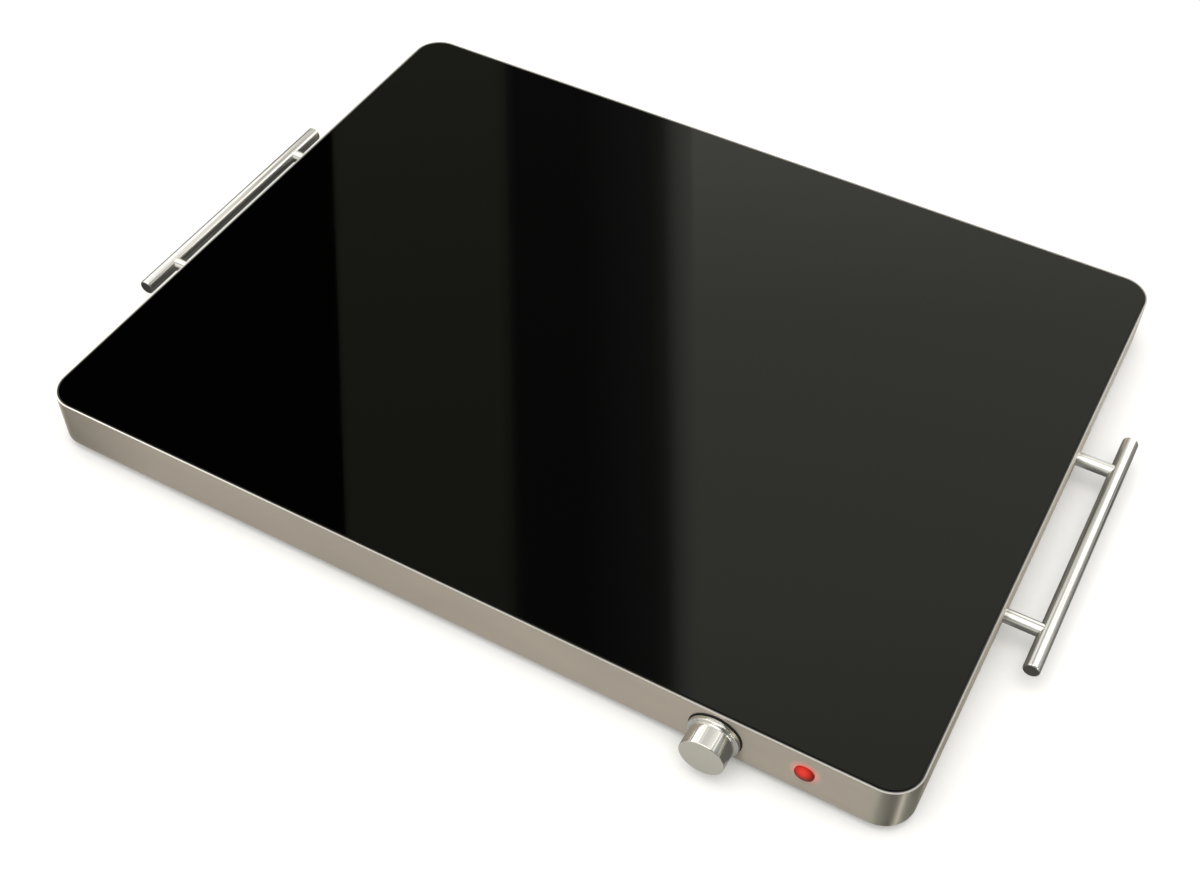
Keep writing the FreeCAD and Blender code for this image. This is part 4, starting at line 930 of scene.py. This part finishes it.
def card_cloth(name, colour, steps, strength=1.0, rising=False, clear=False, gel=False, one_sided=False):
    # Steps give the light across the sheet, or up it. A clear sheet adds it to what lies behind.
    # A gel gives no light: it dims what lies behind it. A one-sided sheet is clear from behind.
    cloth = bpy.data.materials.new(name)
    cloth.use_nodes = True
    nodes = cloth.node_tree.nodes
    links = cloth.node_tree.links
    nodes.remove(nodes["Principled BSDF"])
    place = nodes.new("ShaderNodeTexCoord")
    split = nodes.new("ShaderNodeSeparateXYZ")
    ramp = nodes.new("ShaderNodeValToRGB")
    while len(ramp.color_ramp.elements) < len(steps):
        ramp.color_ramp.elements.new(0.5)
    for element, (position, share) in zip(ramp.color_ramp.elements, steps):
        element.position = position
        element.color = (*shaded(colour, share), 1)
    glow = nodes.new("ShaderNodeEmission")
    glow.inputs["Strength"].default_value = strength
    links.new(place.outputs["UV"], split.inputs["Vector"])
    links.new(split.outputs["Y" if rising else "X"], ramp.inputs["Fac"])
    links.new(ramp.outputs["Color"], glow.inputs["Color"])
    shown = glow.outputs[0]
    veil = nodes.new("ShaderNodeBsdfTransparent")
    if gel:
        links.new(ramp.outputs["Color"], veil.inputs["Color"])
        shown = veil.outputs[0]
    elif clear:
        both = nodes.new("ShaderNodeAddShader")
        links.new(shown, both.inputs[0])
        links.new(veil.outputs[0], both.inputs[1])
        shown = both.outputs[0]
    if one_sided:
        side_seen = nodes.new("ShaderNodeNewGeometry")
        either = nodes.new("ShaderNodeMixShader")
        links.new(side_seen.outputs["Backfacing"], either.inputs["Fac"])
        links.new(shown, either.inputs[1])
        links.new(veil.outputs[0], either.inputs[2])
        shown = either.outputs[0]
    links.new(shown, nodes["Material Output"].inputs["Surface"])
    return cloth


def reflected_only(sheet, meant_for, cloth):
    # Shows a sheet in reflections alone, and only in those of the pieces that it is meant for.
    sheet.data.materials.append(cloth)
    sheet.visible_camera = False
    sheet.visible_diffuse = False
    sheet.visible_shadow = False
    sheet.visible_transmission = False
    sheet.light_linking.receiver_collection = meant_for


def hang_card(name, corners, meant_for, colour, steps, **look):
    # Corners run low left, low right, high left, high right.
    bpy.ops.object.select_all(action="DESELECT")
    bpy.ops.mesh.primitive_plane_add(size=1)
    sheet = bpy.context.object
    sheet.name = name
    for vertex, corner in zip(sheet.data.vertices, corners):
        vertex.co = corner
    reflected_only(sheet, meant_for, card_cloth(name, colour, steps, **look))


def hang_sky(name, radius, meant_for, colour, steps):
    # A round sky over the whole floor, whose light changes from the lowest point up.
    bpy.ops.object.select_all(action="DESELECT")
    bpy.ops.mesh.primitive_uv_sphere_add(segments=32, ring_count=16, radius=radius, location=(0, 0, 0))
    sky = bpy.context.object
    sky.name = name
    cloth = card_cloth(name, colour, steps, rising=True, clear=True)
    cloth.cycles.emission_sampling = "NONE"
    reflected_only(sky, meant_for, cloth)


hang_sky("sky_for_steel", steel_sky_radius, for_steel, room_colour, [(0.0, room_light), (1.0, room_light)])
hang_sky("sky_for_glass", glass_sky_radius, for_glass, room_colour, [(0.5, 0.3), (0.75, 0.2), (1.0, 0.12)])

hang_card("glass_card_left", band(left_band_start, middle_band_start, glass_cards_away), for_glass,
          (1.0, 1.06, 0.8), [(0.0, 0.1), (0.03, 0.15), (0.93, 0.15), (1.0, 0.1)], clear=True)
hang_card("glass_card_middle", band(middle_band_start, bright_edge_start, glass_cards_away), for_glass,
          (1.0, 1.08, 0.98), [(0.0, 0.07), (0.05, 0.036), (0.5, 0.036), (1.0, 0.08)], clear=True)
hang_card("glass_card_edge", band(bright_edge_start, bright_band_start, glass_cards_away), for_glass,
          (1.0, 1.03, 0.9), [(0.0, 0.08), (0.33, 0.15), (0.6, 0.4), (0.8, 0.52), (1.0, 0.6)], clear=True)
hang_card("glass_card_right", band(bright_band_start, bright_band_end, glass_cards_away), for_glass,
          (1.0, 1.01, 0.86), [(0.14, 0.54), (0.32, 0.62), (0.62, 0.64), (0.8, 0.8)], rising=True, clear=True)

hang_card("steel_card_back", band(back_card_start, back_card_end, steel_card_away), for_steel, room_colour,
          [(0.2, 1.0), (0.27, 0.75), (0.33, 0.5), (0.42, 0.36), (0.55, 0.26), (0.82, 0.26), (0.86, 0.6)],
          strength=2.6)
hang_card("steel_card_back_right", upright((1.3, 1.1), (0.75, 1.4), foot=0.75, top=1.5),
          for_steel, room_colour, even, strength=2.2)
hang_card("steel_card_far_right", upright((1.6, 1.1), (0.45, 1.65), foot=0.75, top=2.3),
          for_steel, room_colour, even, strength=1.7)
hang_card("steel_card_right", upright((1.95, 0.15), (1.5, 1.3), card_foot, top=1.8),
          for_steel, room_colour, even, strength=0.55)
hang_card("steel_card_corner", upright((1.7, -1.04), (1.74, -0.965), card_foot, top=0.9),
          for_steel, (0.95, 1.0, 0.97), even, strength=8.0)
hang_card("steel_card_low_left", upright((-2.3, -0.4), (-1.3, 1.9), card_foot, top=0.5),
          for_steel, room_colour, even, strength=0.04)

# On the floor and the walls: what the casing, the knob and the handles see close by.
hang_card("floor_gel", level((-floor_half, -floor_half), (floor_half, floor_half), floor_gel_height),
          for_steel, (1, 1, 1), [(0.466, 0.41), (0.473, 0.49), (0.49, 0.49), (0.5, 0.41)], gel=True)
hang_card("right_wall_card", level((0.3262, 0.14), (0.345, 0.7), wall_card_height),
          for_steel, (0.7, 0.85, 1.05), even, strength=0.6)
left_end_corners = [(-0.48, -0.34), (-0.3, -0.34), (-0.34, -0.245), (-0.24, -0.245)]
hang_card("left_end_gel", [(*corner, gel_height) for corner in left_end_corners],
          for_steel, (1, 1, 1), [(0.0, 0.1), (0.35, 0.2), (1.0, 1.0)], gel=True)
flag_y = casing_low.y - flag_gap
hang_card("knob_flag", upright((knob_x + 0.0185, flag_y), (knob_x + 0.075, flag_y), foot=0.004, top=0.0385),
          for_steel, (1.0, 0.98, 0.88), even, strength=0.12, one_sided=True)
for side, name, flag_level, gel_level in ((-1, "left", 0.03, 0.12), (1, "right", 0.15, 0.35)):
    flag_x = side * (half_width + flag_gap)
    flag_half = side * 0.13
    flag = upright((flag_x, -flag_half), (flag_x, flag_half), foot=0.006, top=0.043)
    hang_card("handle_flag_" + name, flag, for_steel, (1.0, 0.98, 0.85), even, strength=flag_level,
              one_sided=True)
    hang_card("handle_gel_" + name, level((side * 0.33, -0.17), (side * 0.52, 0.27), gel_height),
              for_steel, (1, 1, 1), [(0.0, gel_level), (0.7, gel_level), (1.0, 1.0)], gel=True)

# Round the front right corner, four gels draw the two dark bands beside its bright line.
corner_centre = (half_width - corner_radius, casing_low.y + corner_radius)
shade_reach = 1.2
shade_top = 2.0
shade_tint = (0.9, 1.0, 0.97)
soft_dark = [(0.0, 1.0), (0.3, 0.12), (0.7, 0.12), (1.0, 1.0)]
for name, near_turns, far_turns in (("front", (-4, 34), (-8, 58)), ("side", (50, 98), (68, 150))):
    hang_card("corner_gel_" + name, fan(corner_centre, 0.02, 0.18, near_turns, far_turns, gel_height),
              for_steel, shade_tint, soft_dark, gel=True)
for name, first_turn, last_turn, dark in (("front", 4, 58, 0.08), ("side", 65, 126, 0.05)):
    shade_start = around(corner_centre, shade_reach, first_turn)
    shade_end = around(corner_centre, shade_reach, last_turn)
    hang_card("corner_shade_" + name, upright(shade_start, shade_end, card_foot, shade_top),
              for_steel, shade_tint, [(0.0, 1.0), (0.25, dark), (0.8, dark), (1.0, 1.0)], gel=True)
